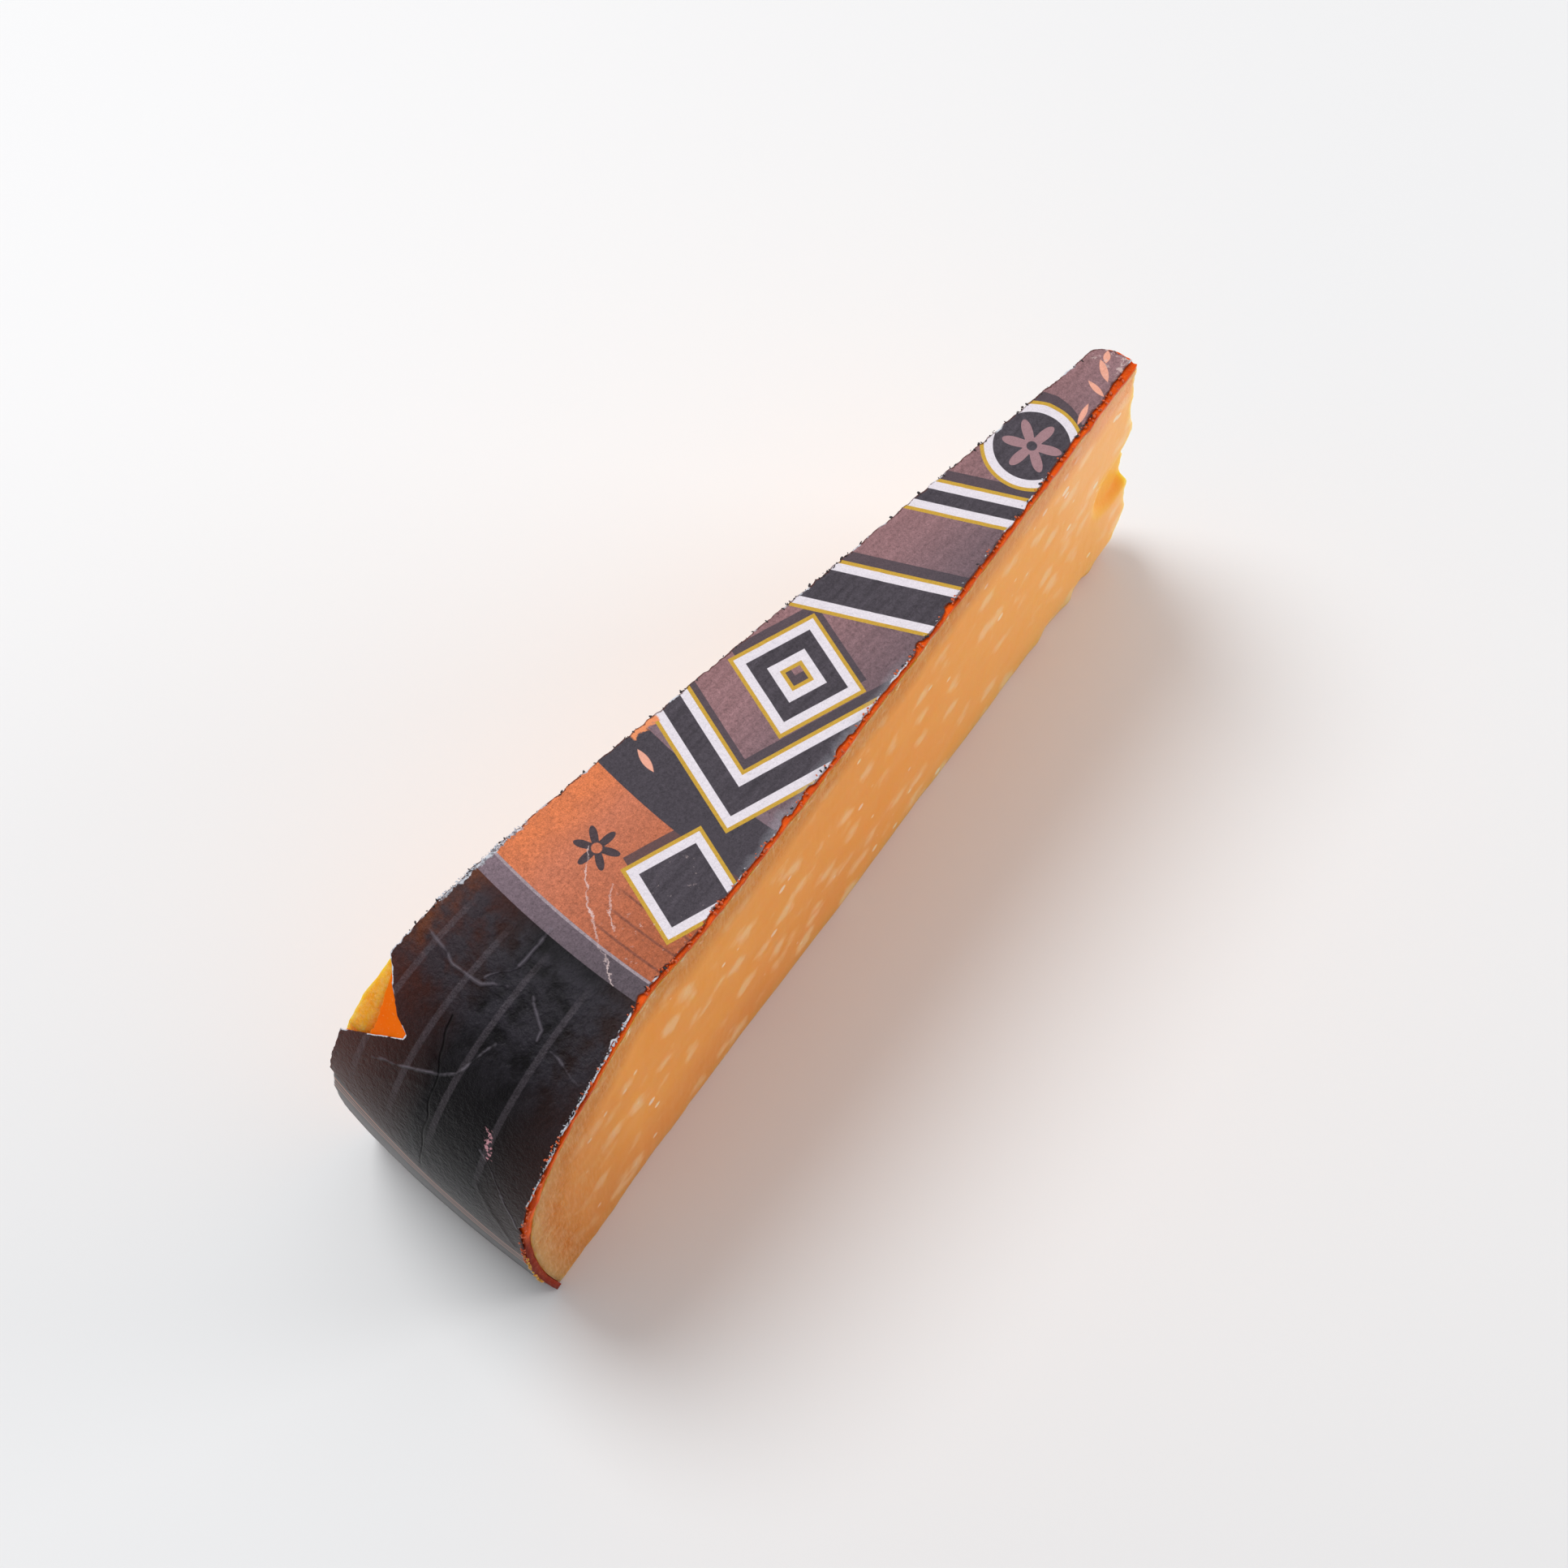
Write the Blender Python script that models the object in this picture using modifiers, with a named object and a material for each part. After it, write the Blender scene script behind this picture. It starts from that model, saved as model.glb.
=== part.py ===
"""Wedge of aged cheese from a large wheel, with its orange coat and its paper labels.

The wheel is turned about its own axis and cut level below its widest girth.  The
wedge is then cut out of it: two straight knife cuts meet near the axis, where the
thin tip has broken off.  The wedge stands on the level cut, label side up.

Frame: +Z up, the floor at Z = 0, the heel (rind end) toward -X, the tip toward +X,
the origin under the middle of the bounding box.
"""

import math

import bmesh
import bpy

# Driving dimensions, in metres
GIRTH_RADIUS = 0.177        # the wheel at its widest, over the label
GIRTH_HEIGHT = 0.028        # the widest girth above the level cut
WEDGE_HEIGHT = 0.061        # the level cut to the top of the label
SHOULDER_RADIUS = 0.137     # where the flat top begins to round over
SHOULDER_SPREAD = 2.6       # exponents of the superellipse that rounds the shoulder
SHOULDER_DROP = 2.1
FOOT_TUCK = 0.003           # how far the rim draws in from the girth to the level cut
WEDGE_ANGLE = math.radians(11.9)

LABEL_THICKNESS = 0.0003
COAT_THICKNESS = 0.0012
GAP = 0.0003                # clearance between neighbouring layers
LABEL_LIFT = 0.0006         # the side label ends this far above the floor

TIP_RADIUS = 0.0294         # the broken tip, measured from the wheel's axis
LOBE_RADIUS = 0.0252        # the lower lobe of the break reaches nearest to the axis
NOTCH_HEIGHT = 0.030        # the step between the upper break and the lower lobe

SEAM_HEIGHT = 0.0305        # the edge where the top label ends, at mid width
SEAM_TILT = math.radians(14.0)
TEAR_TOP = 0.0565           # the torn corner of the top label, by height
TEAR_BOTTOM = 0.0445
TEAR_DEPTH = 0.0093         # how far it reaches in from the far cut face
CHIP_DEPTH = 0.0036         # the coat is chipped off along the far edge of the tear

TURN_STEPS = 180
SHOULDER_POINTS = 14
RIM_POINTS = 6
REACH = 0.05                # how far the cutters run past the wheel

AXIS_X = (GIRTH_RADIUS + LOBE_RADIUS) / 2.0
HEEL_HALF_WIDTH = GIRTH_RADIUS * math.sin(WEDGE_ANGLE / 2.0)

PASTE_INSET = LABEL_THICKNESS + GAP + COAT_THICKNESS + GAP
COAT_INSET = LABEL_THICKNESS + GAP


def clear_scene():
    for obj in list(bpy.data.objects):
        bpy.data.objects.remove(obj)


def new_collection(name):
    collection = bpy.data.collections.new(name)
    bpy.context.scene.collection.children.link(collection)
    return collection


def material(name, colour, roughness, coat_weight=0.0):
    mat = bpy.data.materials.new(name)
    mat.use_nodes = True
    shader = mat.node_tree.nodes["Principled BSDF"]
    shader.inputs["Base Color"].default_value = (*colour, 1.0)
    shader.inputs["Roughness"].default_value = roughness
    shader.inputs["Metallic"].default_value = 0.0
    shader.inputs["Coat Weight"].default_value = coat_weight
    return mat


def rim_outline(inset, floor=0.0):
    """Points (radius, height) of the wheel's skin, inset, from the flat top to the level cut."""
    reach = GIRTH_RADIUS - SHOULDER_RADIUS - inset
    rise = WEDGE_HEIGHT - GIRTH_HEIGHT - inset
    points = []
    for i in range(SHOULDER_POINTS + 1):
        angle = 0.5 * math.pi * (1.0 - i / SHOULDER_POINTS)
        out = reach * math.cos(angle) ** (2.0 / SHOULDER_SPREAD)
        up = rise * math.sin(angle) ** (2.0 / SHOULDER_DROP)
        points.append((SHOULDER_RADIUS + out, GIRTH_HEIGHT + up))
    for i in range(1, RIM_POINTS + 1):
        height = GIRTH_HEIGHT + (floor - GIRTH_HEIGHT) * i / RIM_POINTS
        tuck = FOOT_TUCK * (1.0 - height / GIRTH_HEIGHT) ** 2
        points.append((GIRTH_RADIUS - inset - tuck, height))
    return points


def turned(name, outline, collection):
    """Turn an outline, which starts and ends on the wheel's axis, through a full circle."""
    mesh = bpy.data.meshes.new(name)
    verts = [(radius, 0.0, height) for radius, height in outline]
    mesh.from_pydata(verts, [(i, i + 1) for i in range(len(verts) - 1)], [])
    obj = bpy.data.objects.new(name, mesh)
    obj.location.x = AXIS_X
    collection.objects.link(obj)
    screw = obj.modifiers.new("Turn", "SCREW")
    screw.axis = "Z"
    screw.angle = math.tau
    screw.steps = TURN_STEPS
    screw.render_steps = TURN_STEPS
    screw.use_merge_vertices = True
    screw.merge_threshold = 0.00001
    return obj


def turned_solid(name, inset, collection):
    skin = rim_outline(inset)
    return turned(name, [(0.0, skin[0][1])] + skin + [(0.0, 0.0)], collection)


def turned_layer(name, inset, thickness, floor, collection):
    outer = rim_outline(inset, floor)
    inner = rim_outline(inset + thickness, floor)
    outline = [(0.0, outer[0][1])] + outer + inner[::-1] + [(0.0, inner[0][1])]
    return turned(name, outline, collection)


def slab(name, outline, thickness, collection):
    """A closed slab: a flat outline in XY, half the thickness to each side of Z = 0."""
    curve = bpy.data.curves.new(name, "CURVE")
    curve.dimensions = "2D"
    curve.fill_mode = "BOTH"
    curve.extrude = thickness / 2.0
    spline = curve.splines.new("POLY")
    spline.points.add(len(outline) - 1)
    for point, (x, y) in zip(spline.points, outline):
        point.co = (x, y, 0.0, 1.0)
    spline.use_cyclic_u = True
    drawn = bpy.data.objects.new(name, curve)
    collection.objects.link(drawn)
    evaluated = drawn.evaluated_get(bpy.context.evaluated_depsgraph_get())
    mesh = bpy.data.meshes.new_from_object(evaluated)
    bpy.data.objects.remove(drawn)
    bm = bmesh.new()
    bm.from_mesh(mesh)
    bmesh.ops.remove_doubles(bm, verts=bm.verts, dist=0.000001)
    bmesh.ops.recalc_face_normals(bm, faces=bm.faces)
    bm.to_mesh(mesh)
    bm.free()
    obj = bpy.data.objects.new(name, mesh)
    collection.objects.link(obj)
    return obj


def as_cutter(obj):
    obj.hide_render = True
    obj.display_type = "WIRE"
    return obj


def wedge_cutter(collection):
    """The space between the two knife cuts, from the axis past the heel."""
    far = GIRTH_RADIUS + REACH
    spread = far * math.tan(WEDGE_ANGLE / 2.0)
    outline = [(AXIS_X, 0.0), (AXIS_X - far, spread), (AXIS_X - far, -spread)]
    cutter = slab("knife_cuts", outline, 2.0 * (WEDGE_HEIGHT + REACH), collection)
    return as_cutter(cutter)


def tip_cutter(collection):
    """What broke off at the tip, drawn from the side and run across the wedge."""
    tip = AXIS_X - TIP_RADIUS
    lobe = AXIS_X - LOBE_RADIUS
    outline = [
        (AXIS_X + REACH, -REACH),
        (tip, -REACH),
        (tip, 0.0),
        (lobe - 0.0006, 0.005),
        (lobe, 0.011),
        (lobe - 0.0003, 0.018),
        (lobe - 0.0015, 0.025),
        (tip - 0.0010, NOTCH_HEIGHT),
        (tip + 0.0022, NOTCH_HEIGHT + 0.004),
        (tip + 0.0012, 0.046),
        (tip, WEDGE_HEIGHT - PASTE_INSET),
        (tip, WEDGE_HEIGHT + REACH),
        (AXIS_X + REACH, WEDGE_HEIGHT + REACH),
    ]
    cutter = slab("tip_break", outline, 4.0 * REACH, collection)
    cutter.rotation_euler.x = math.pi / 2.0
    return as_cutter(cutter)


def seam_cutter(name, offset, side, collection):
    """A tilted half-space above (+1) or below (-1) the line where the top label ends."""
    half = 2.0 * GIRTH_RADIUS
    outline = [(-half, -half), (half, -half), (half, half), (-half, half)]
    cutter = slab(name, outline, half, collection)
    cutter.rotation_euler.x = SEAM_TILT
    shift = side * half / 2.0 + offset
    cutter.location.y = -math.sin(SEAM_TILT) * shift
    cutter.location.z = SEAM_HEIGHT + math.cos(SEAM_TILT) * shift
    return as_cutter(cutter)


def tear_cutter(name, depth, collection):
    """A three-cornered bite, drawn from the heel, that opens at the far cut face."""
    middle = 0.5 * (TEAR_TOP + TEAR_BOTTOM)
    edge = HEEL_HALF_WIDTH + GAP
    outline = [
        (edge + REACH, TEAR_BOTTOM),
        (edge + REACH, TEAR_TOP),
        (edge, TEAR_TOP),
        (edge - 0.55 * depth, middle + 0.0030),
        (edge - depth, middle + 0.0005),
        (edge - 0.45 * depth, TEAR_BOTTOM + 0.0022),
        (edge, TEAR_BOTTOM),
    ]
    cutter = slab(name, outline, GIRTH_RADIUS, collection)
    cutter.rotation_euler = (math.pi / 2.0, 0.0, math.pi / 2.0)
    cutter.location.x = AXIS_X - GIRTH_RADIUS
    return as_cutter(cutter)


def cut(obj, cutter, operation):
    boolean = obj.modifiers.new(cutter.name, "BOOLEAN")
    boolean.operation = operation
    boolean.object = cutter
    boolean.solver = "EXACT"


def cut_wedge(obj, cutters, shader):
    cut(obj, cutters["wedge"], "INTERSECT")
    cut(obj, cutters["tip"], "DIFFERENCE")
    obj.data.materials.append(shader)


def cheese_paste(collection, cutters):
    shader = material("paste", (0.76, 0.35, 0.10), 0.38)
    obj = turned_solid("cheese_paste", PASTE_INSET, collection)
    cut_wedge(obj, cutters, shader)


def wax_coat(collection, cutters):
    shader = material("coat", (0.60, 0.07, 0.008), 0.30, coat_weight=0.4)
    obj = turned_layer("wax_coat", COAT_INSET, COAT_THICKNESS, 0.0, collection)
    cut_wedge(obj, cutters, shader)
    cut(obj, cutters["chip"], "DIFFERENCE")


def top_label(collection, cutters):
    shader = material("label_print", (0.030, 0.025, 0.029), 0.42)
    obj = turned_layer("top_label", 0.0, LABEL_THICKNESS, LABEL_LIFT, collection)
    cut_wedge(obj, cutters, shader)
    cut(obj, cutters["above_seam"], "INTERSECT")
    cut(obj, cutters["tear"], "DIFFERENCE")


def side_label(collection, cutters):
    shader = material("side_print", (0.035, 0.036, 0.036), 0.45)
    obj = turned_layer("side_label", 0.0, LABEL_THICKNESS, LABEL_LIFT, collection)
    cut_wedge(obj, cutters, shader)
    cut(obj, cutters["below_seam"], "INTERSECT")


def build():
    clear_scene()
    parts = new_collection("cheese_wedge")
    tools = new_collection("cutters")
    cutters = {
        "wedge": wedge_cutter(tools),
        "tip": tip_cutter(tools),
        "above_seam": seam_cutter("above_seam", GAP / 2.0, 1.0, tools),
        "below_seam": seam_cutter("below_seam", -GAP / 2.0, -1.0, tools),
        "tear": tear_cutter("tear", TEAR_DEPTH, tools),
        "chip": tear_cutter("chip", CHIP_DEPTH, tools),
    }
    cheese_paste(parts, cutters)
    wax_coat(parts, cutters)
    top_label(parts, cutters)
    side_label(parts, cutters)


build()
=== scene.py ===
"""Looks of a cheese wedge: cut paste, orange coat, two printed papers, torn paper and crumbs.

The shapes are worked out in millimetres in the wheel's own terms.  A `run` is the distance
from the wheel's axis measured along its skin: outwards over the flat top, over the shoulder
and down the rim.  An azimuth turns about the axis, positive towards the near cut face.
"""

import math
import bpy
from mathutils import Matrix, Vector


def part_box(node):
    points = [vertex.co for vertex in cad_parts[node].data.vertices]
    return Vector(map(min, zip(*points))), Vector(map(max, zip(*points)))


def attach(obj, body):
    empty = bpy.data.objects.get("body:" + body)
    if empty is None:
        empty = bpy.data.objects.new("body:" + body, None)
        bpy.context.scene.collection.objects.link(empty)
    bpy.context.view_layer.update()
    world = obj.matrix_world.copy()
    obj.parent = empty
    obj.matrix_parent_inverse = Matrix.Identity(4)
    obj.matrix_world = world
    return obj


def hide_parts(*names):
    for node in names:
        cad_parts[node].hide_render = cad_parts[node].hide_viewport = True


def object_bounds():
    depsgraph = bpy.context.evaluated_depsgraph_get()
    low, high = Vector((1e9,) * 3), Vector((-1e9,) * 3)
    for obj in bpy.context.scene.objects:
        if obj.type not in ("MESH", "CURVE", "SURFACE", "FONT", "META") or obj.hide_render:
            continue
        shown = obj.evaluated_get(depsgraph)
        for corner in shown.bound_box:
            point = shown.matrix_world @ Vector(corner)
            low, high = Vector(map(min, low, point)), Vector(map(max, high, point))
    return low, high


bl_info = {
    "name": "Cheese Wedge",
    "version": (1, 0, 0),
    "blender": (4, 5, 0),
    "location": "View3D > Sidebar > Cheese",
    "description": "Dresses a wedge of aged cheese with paste, coat, papers and crumbs",
    "category": "Object",
}

from functools import reduce

import bmesh
import bpy
import numpy as np
from mathutils import Vector

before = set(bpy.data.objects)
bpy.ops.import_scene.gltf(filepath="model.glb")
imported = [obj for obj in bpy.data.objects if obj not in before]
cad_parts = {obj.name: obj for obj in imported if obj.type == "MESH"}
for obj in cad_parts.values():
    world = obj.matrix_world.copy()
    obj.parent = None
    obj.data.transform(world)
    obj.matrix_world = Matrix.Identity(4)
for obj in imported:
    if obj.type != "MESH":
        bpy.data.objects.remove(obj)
CAD_LOW, CAD_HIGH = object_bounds()

MM = 0.001

# The wheel and the cuts, as the solids have them
GIRTH_RADIUS = 177.0
GIRTH_HEIGHT = 28.0
SHOULDER_RADIUS = 137.0
SHOULDER_SPREAD = 2.6
SHOULDER_DROP = 2.1
FOOT_TUCK = 3.0
HALF_ANGLE = math.radians(5.95)
SEAM_HEIGHT = 30.5
SEAM_TILT = math.tan(math.radians(14.0))
TIP_RUN = 29.4
WEDGE_HEIGHT = CAD_HIGH.z / MM
AXIS_X = CAD_LOW.x / MM + GIRTH_RADIUS
SIDE_LABEL_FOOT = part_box("side_label")[0].z / MM

SHOULDER_HEIGHT = WEDGE_HEIGHT - GIRTH_HEIGHT

# How deep the outer face of each layer lies under the skin
TOP_PAPER_INSET = 0.06
SIDE_PAPER_INSET = 0.24
COAT_INSET = 0.42
PASTE_INSET = 1.52

# The broken tip seen from the side, as (height, radius), up to the top of the wedge
TIP_OUTLINE = [
    (0.0, 28.6), (4.0, 26.2), (10.0, 25.4), (16.0, 25.3), (22.0, 25.3), (27.0, 25.4), (31.0, 26.4),
    (32.4, 30.8), (33.4, 31.0), (35.4, 28.4), (38.0, 27.3), (46.0, 28.4), (WEDGE_HEIGHT, 29.6),
]

# The scooped lobe of the tip on the near cut face, as radius and height
SCOOP_CENTRE = (29.3, 26.0)
SCOOP_SIZE = (6.2, 8.0)
SCOOP_DEPTH = 1.4

# Where the print of the top label changes, as runs, and how soft its edges are
DARK_RING = 117.4
BAND_START = 125.6
BAND_END = 144.0
GREY_RING = 144.4
FIGURES_END = 141.8
HEEL_PRINT = 147.3
CRISP = 0.08

# Printed ornaments, as flat x and y about the wheel's axis
ORNAMENT_SLANT = math.radians(27.0)
ROUNDEL = (49.6, 0.2)
ROUNDEL_FLOWER = 4.3
BAND_FLOWER = (134.2, -4.6)
BAND_FLOWER_RADIUS = 3.3
LEAVES = [                  # x, y, half length, half width, angle in degrees
    (33.6, 0.2, 1.9, 0.55, 55.0),
    (36.6, 1.2, 1.7, 0.45, 80.0),
    (41.0, 2.4, 1.9, 0.42, 15.0),
    (31.6, -0.9, 1.1, 0.50, 30.0),
    (120.6, -8.2, 2.0, 0.55, 75.0),
]

# The two knife cuts, by the sign of their azimuth
NEAR = 1.0
FAR = -1.0

# Stage, in metres
CAMERA_TARGET = Vector((0.00961, 0.00908, 0.0))
SENSOR_WIDTH = 36.0
FLOOR_SIZE = 6.0
WINDOW_PLACE = (-0.022, 0.405, 0.775)
FILL_PLACE = (0.58, -0.50, 0.20)
ROOM_BRIGHT_SIDE = (0.20, 0.42, 0.885)


# ---------------------------------------------------------------- numbers over the skin

def hashed(ix, iy, iz, seed):
    """A repeatable number from -1 to 1 for each corner of a grid of cells."""
    mixed = (ix * 374761393 + iy * 668265263 + iz * 1442695041 + seed * 1274126177) & 0xFFFFFFFF
    mixed = ((mixed ^ (mixed >> 13)) * 1103515245) & 0xFFFFFFFF
    mixed = ((mixed ^ (mixed >> 16)) * 1274126177) & 0xFFFFFFFF
    return ((mixed >> 8) & 0xFFFF) / 32767.5 - 1.0


def noise(x, y, z, seed):
    """Smooth noise from -1 to 1 on cells one unit wide."""
    x, y, z = np.broadcast_arrays(x, y, z)
    corner = [np.floor(axis).astype(np.int64) for axis in (x, y, z)]
    part = [axis - low for axis, low in zip((x, y, z), corner)]
    ease = [t * t * (3.0 - 2.0 * t) for t in part]
    total = np.zeros(x.shape)
    for dx in (0, 1):
        for dy in (0, 1):
            for dz in (0, 1):
                weight = np.abs(1 - dx - ease[0]) * np.abs(1 - dy - ease[1]) * np.abs(1 - dz - ease[2])
                total += weight * hashed(corner[0] + dx, corner[1] + dy, corner[2] + dz, seed)
    return total


def rough(x, y, z, size, seed, octaves=3):
    """Several sizes of noise on top of each other, the largest with cells of the given size."""
    total = 0.0
    for octave in range(octaves):
        scale = 2.0 ** octave / size
        total = total + noise(x * scale, y * scale, z * scale, seed + octave) * 0.5 ** octave
    return total


def smooth_step(value, low, high):
    t = np.clip((value - low) / (high - low), 0.0, 1.0)
    return t * t * (3.0 - 2.0 * t)


def bump_at(value, centre, width):
    return np.exp(-((value - centre) / width) ** 2)


def distance_to_line(x, y, points):
    """The distance from each (x, y) to an open line through the points."""
    nearest = np.full(np.shape(x), 1e9)
    for (ax, ay), (bx, by) in zip(points, points[1:]):
        dx, dy = bx - ax, by - ay
        t = np.clip(((x - ax) * dx + (y - ay) * dy) / (dx * dx + dy * dy), 0.0, 1.0)
        nearest = np.minimum(nearest, np.hypot(x - ax - t * dx, y - ay - t * dy))
    return nearest


def skin_outline():
    """The skin from near the axis to the floor: runs, radii, heights and outward normals."""
    turn = np.linspace(0.5 * math.pi, 0.0, 200)
    out = np.clip(np.cos(turn), 0.0, 1.0) ** (2.0 / SHOULDER_SPREAD)
    up = np.clip(np.sin(turn), 0.0, 1.0) ** (2.0 / SHOULDER_DROP)
    fall = np.linspace(GIRTH_HEIGHT, 0.0, 60)[1:]
    flat = np.arange(10.0, SHOULDER_RADIUS, 1.0)
    radius = np.concatenate([
        flat,
        SHOULDER_RADIUS + (GIRTH_RADIUS - SHOULDER_RADIUS) * out,
        GIRTH_RADIUS - FOOT_TUCK * (1.0 - fall / GIRTH_HEIGHT) ** 2,
    ])
    height = np.concatenate([
        np.full(len(flat), WEDGE_HEIGHT),
        GIRTH_HEIGHT + SHOULDER_HEIGHT * up,
        fall,
    ])
    run = flat[0] + np.concatenate([[0.0], np.cumsum(np.hypot(np.diff(radius), np.diff(height)))])
    slope_r = np.gradient(radius, run)
    slope_z = np.gradient(height, run)
    size = np.hypot(slope_r, slope_z)
    return run, radius, height, -slope_z / size, slope_r / size


RUN, RADIUS, HEIGHT, NORMAL_R, NORMAL_Z = skin_outline()
FLOOR_RUN = RUN[-1]
SHOULDER_RUN = SHOULDER_RADIUS


def skin(run, inset=0.0):
    """Radius and height at a run, set in from the skin."""
    radius = np.interp(run, RUN, RADIUS) - inset * np.interp(run, RUN, NORMAL_R)
    height = np.interp(run, RUN, HEIGHT) - inset * np.interp(run, RUN, NORMAL_Z)
    return radius, height


def run_at_height(height):
    """The run where the skin comes down to a height."""
    return np.interp(-np.asarray(height, float), -HEIGHT, RUN)


def run_mark(height):
    """The same for one height, as a plain number."""
    return float(run_at_height(height))


def depth_below_skin(radius, height):
    """How deep a point of the paste lies below the skin of the wheel."""
    line = list(zip(RADIUS[::4], HEIGHT[::4])) + [(RADIUS[-1], HEIGHT[-1])]
    return distance_to_line(radius, height, line)


def place(radius, azimuth, height):
    """Points in metres, in the frame, from the wheel's terms in millimetres."""
    return np.stack([
        (AXIS_X - radius * np.cos(azimuth)) * MM,
        -radius * np.sin(azimuth) * MM,
        np.broadcast_to(height, np.shape(radius)) * MM,
    ], axis=-1)


def near_wander(radius, height):
    """How far the near knife cut strays outwards from its plane."""
    stray = 0.22 * noise(radius / 34.0, height / 40.0, 0.0, 11)
    stray = stray - 0.85 * bump_at(radius, 146.0, 8.0) * smooth_step(height, 38.0, 56.0)
    return stray + 0.35 * bump_at(radius, 174.0, 12.0) * (1.0 - smooth_step(height, 0.0, 18.0))


def far_wander(radius, height):
    return 0.14 * noise(radius / 40.0, height / 35.0, 0.0, 23)


def tip_run(across):
    """Where the broken tip begins, by the distance across the wedge."""
    return TIP_RUN + 2.6 * np.clip((0.2 - across) / 3.3, 0.0, 1.0) ** 2.2


def seam_run(azimuth):
    """Where the top label ends on the heel."""
    return run_at_height(SEAM_HEIGHT - SEAM_TILT * GIRTH_RADIUS * np.sin(azimuth))


def by_height(pairs):
    """Turn (height, value) pairs, from the top down, into a value by run."""
    runs = [run_mark(height) for height, _ in pairs]
    values = [value for _, value in pairs]
    return lambda run: np.interp(run, runs, values, left=values[0], right=values[-1])


# The torn corner: how deep it reaches in from the far cut face, by height on the skin
TEAR_DEPTH = by_height([
    (55.6, 0.0), (55.0, 1.2), (53.6, 3.6), (51.9, 6.6),
    (51.3, 8.8), (50.6, 8.8), (48.0, 4.5), (44.6, 0.0),
])
CHIP_DEPTH = by_height([(56.4, 0.0), (54.6, 1.5), (52.2, 2.9), (48.6, 3.9), (46.4, 3.8), (44.2, 0.0)])


# ---------------------------------------------------------------- meshes

def mesh_object(name, verts, faces):
    mesh = bpy.data.meshes.new(name)
    mesh.from_pydata(verts, [], faces)
    mesh.update()
    mesh.shade_smooth()
    obj = bpy.data.objects.new(name, mesh)
    bpy.context.scene.collection.objects.link(obj)
    return obj


def block(name, grid, attributes):
    """A closed skin over a box-like grid of points, with a vector attribute or more on its points."""
    sizes = grid.shape[:3]
    index = np.arange(np.prod(sizes)).reshape(sizes)
    sides = []
    for axis in range(3):
        for end in (0, -1):
            side = np.take(index, end, axis=axis)
            quads = np.stack([side[:-1, :-1], side[1:, :-1], side[1:, 1:], side[:-1, 1:]], axis=-1)
            quads = quads.reshape(-1, 4)
            sides.append(quads[:, ::-1] if (end == 0) == (axis != 1) else quads)
    faces = np.concatenate(sides)
    used, faces = np.unique(faces, return_inverse=True)
    faces = faces.reshape(-1, 4)
    points = grid.reshape(-1, 3)[used]
    a, b, c, d = (points[faces[:, corner]] for corner in range(4))
    volume = np.einsum("ij,ij->i", np.cross(b - a, c - a), a).sum()
    volume += np.einsum("ij,ij->i", np.cross(c - a, d - a), a).sum()
    if volume < 0.0:
        faces = faces[:, ::-1]
    obj = mesh_object(name, points.tolist(), faces.tolist())
    for key, values in attributes.items():
        layer = obj.data.attributes.new(key, "FLOAT_VECTOR", "POINT")
        layer.data.foreach_set("vector", values.reshape(-1, 3)[used].astype(np.float32).ravel())
    return obj


def spread(count, pull):
    """Fractions from 0 to 1 that crowd towards both ends."""
    t = np.linspace(-1.0, 1.0, count)
    return 0.5 + 0.5 * np.sign(t) * (1.0 - (1.0 - np.abs(t)) ** pull)


def layer(name, rows, columns, ends, edges, insets, relief):
    """A thin closed sheet over the skin.

    ends: the start and end run by azimuth.  edges: the near and far set-back by run.
    insets: the outer and inner face's depth.  relief: the lift of the outer face.
    """
    start, end = ends
    down = np.linspace(0.0, 1.0, rows)[:, None]
    across = spread(columns, 1.9)[None, :]
    azimuth = np.repeat(HALF_ANGLE * (1.0 - 2.0 * across), rows, axis=0)
    for _ in range(4):
        run = start(azimuth) + (end(azimuth) - start(azimuth)) * down
        radius, height = skin(run)
        near = HALF_ANGLE + (near_wander(radius, height) - edges[0](run)) / radius
        far = -HALF_ANGLE - (far_wander(radius, height) - edges[1](run)) / radius
        azimuth = near + (far - near) * across
    radius, height = skin(run)
    across = radius * azimuth
    margin = np.minimum(radius * (near - azimuth), radius * (azimuth - far))
    margin = np.minimum(margin, np.minimum(run - start(azimuth), end(azimuth) - run))
    faces = []
    for inset in insets:
        radius, height = skin(run, inset - relief(run, across))
        faces.append(place(radius, azimuth, height))
    facts = np.stack([run, np.degrees(azimuth), margin], axis=-1)
    return block(name, np.stack(faces, axis=2), {"sheet": np.stack([facts, facts], axis=2)})


def finish_piece(obj, material, slot, *nodes):
    obj.data.materials.clear()
    obj.data.materials.append(material)
    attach(obj, "root")
    if nodes:
        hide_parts(*nodes)


# ---------------------------------------------------------------- node trees

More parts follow.
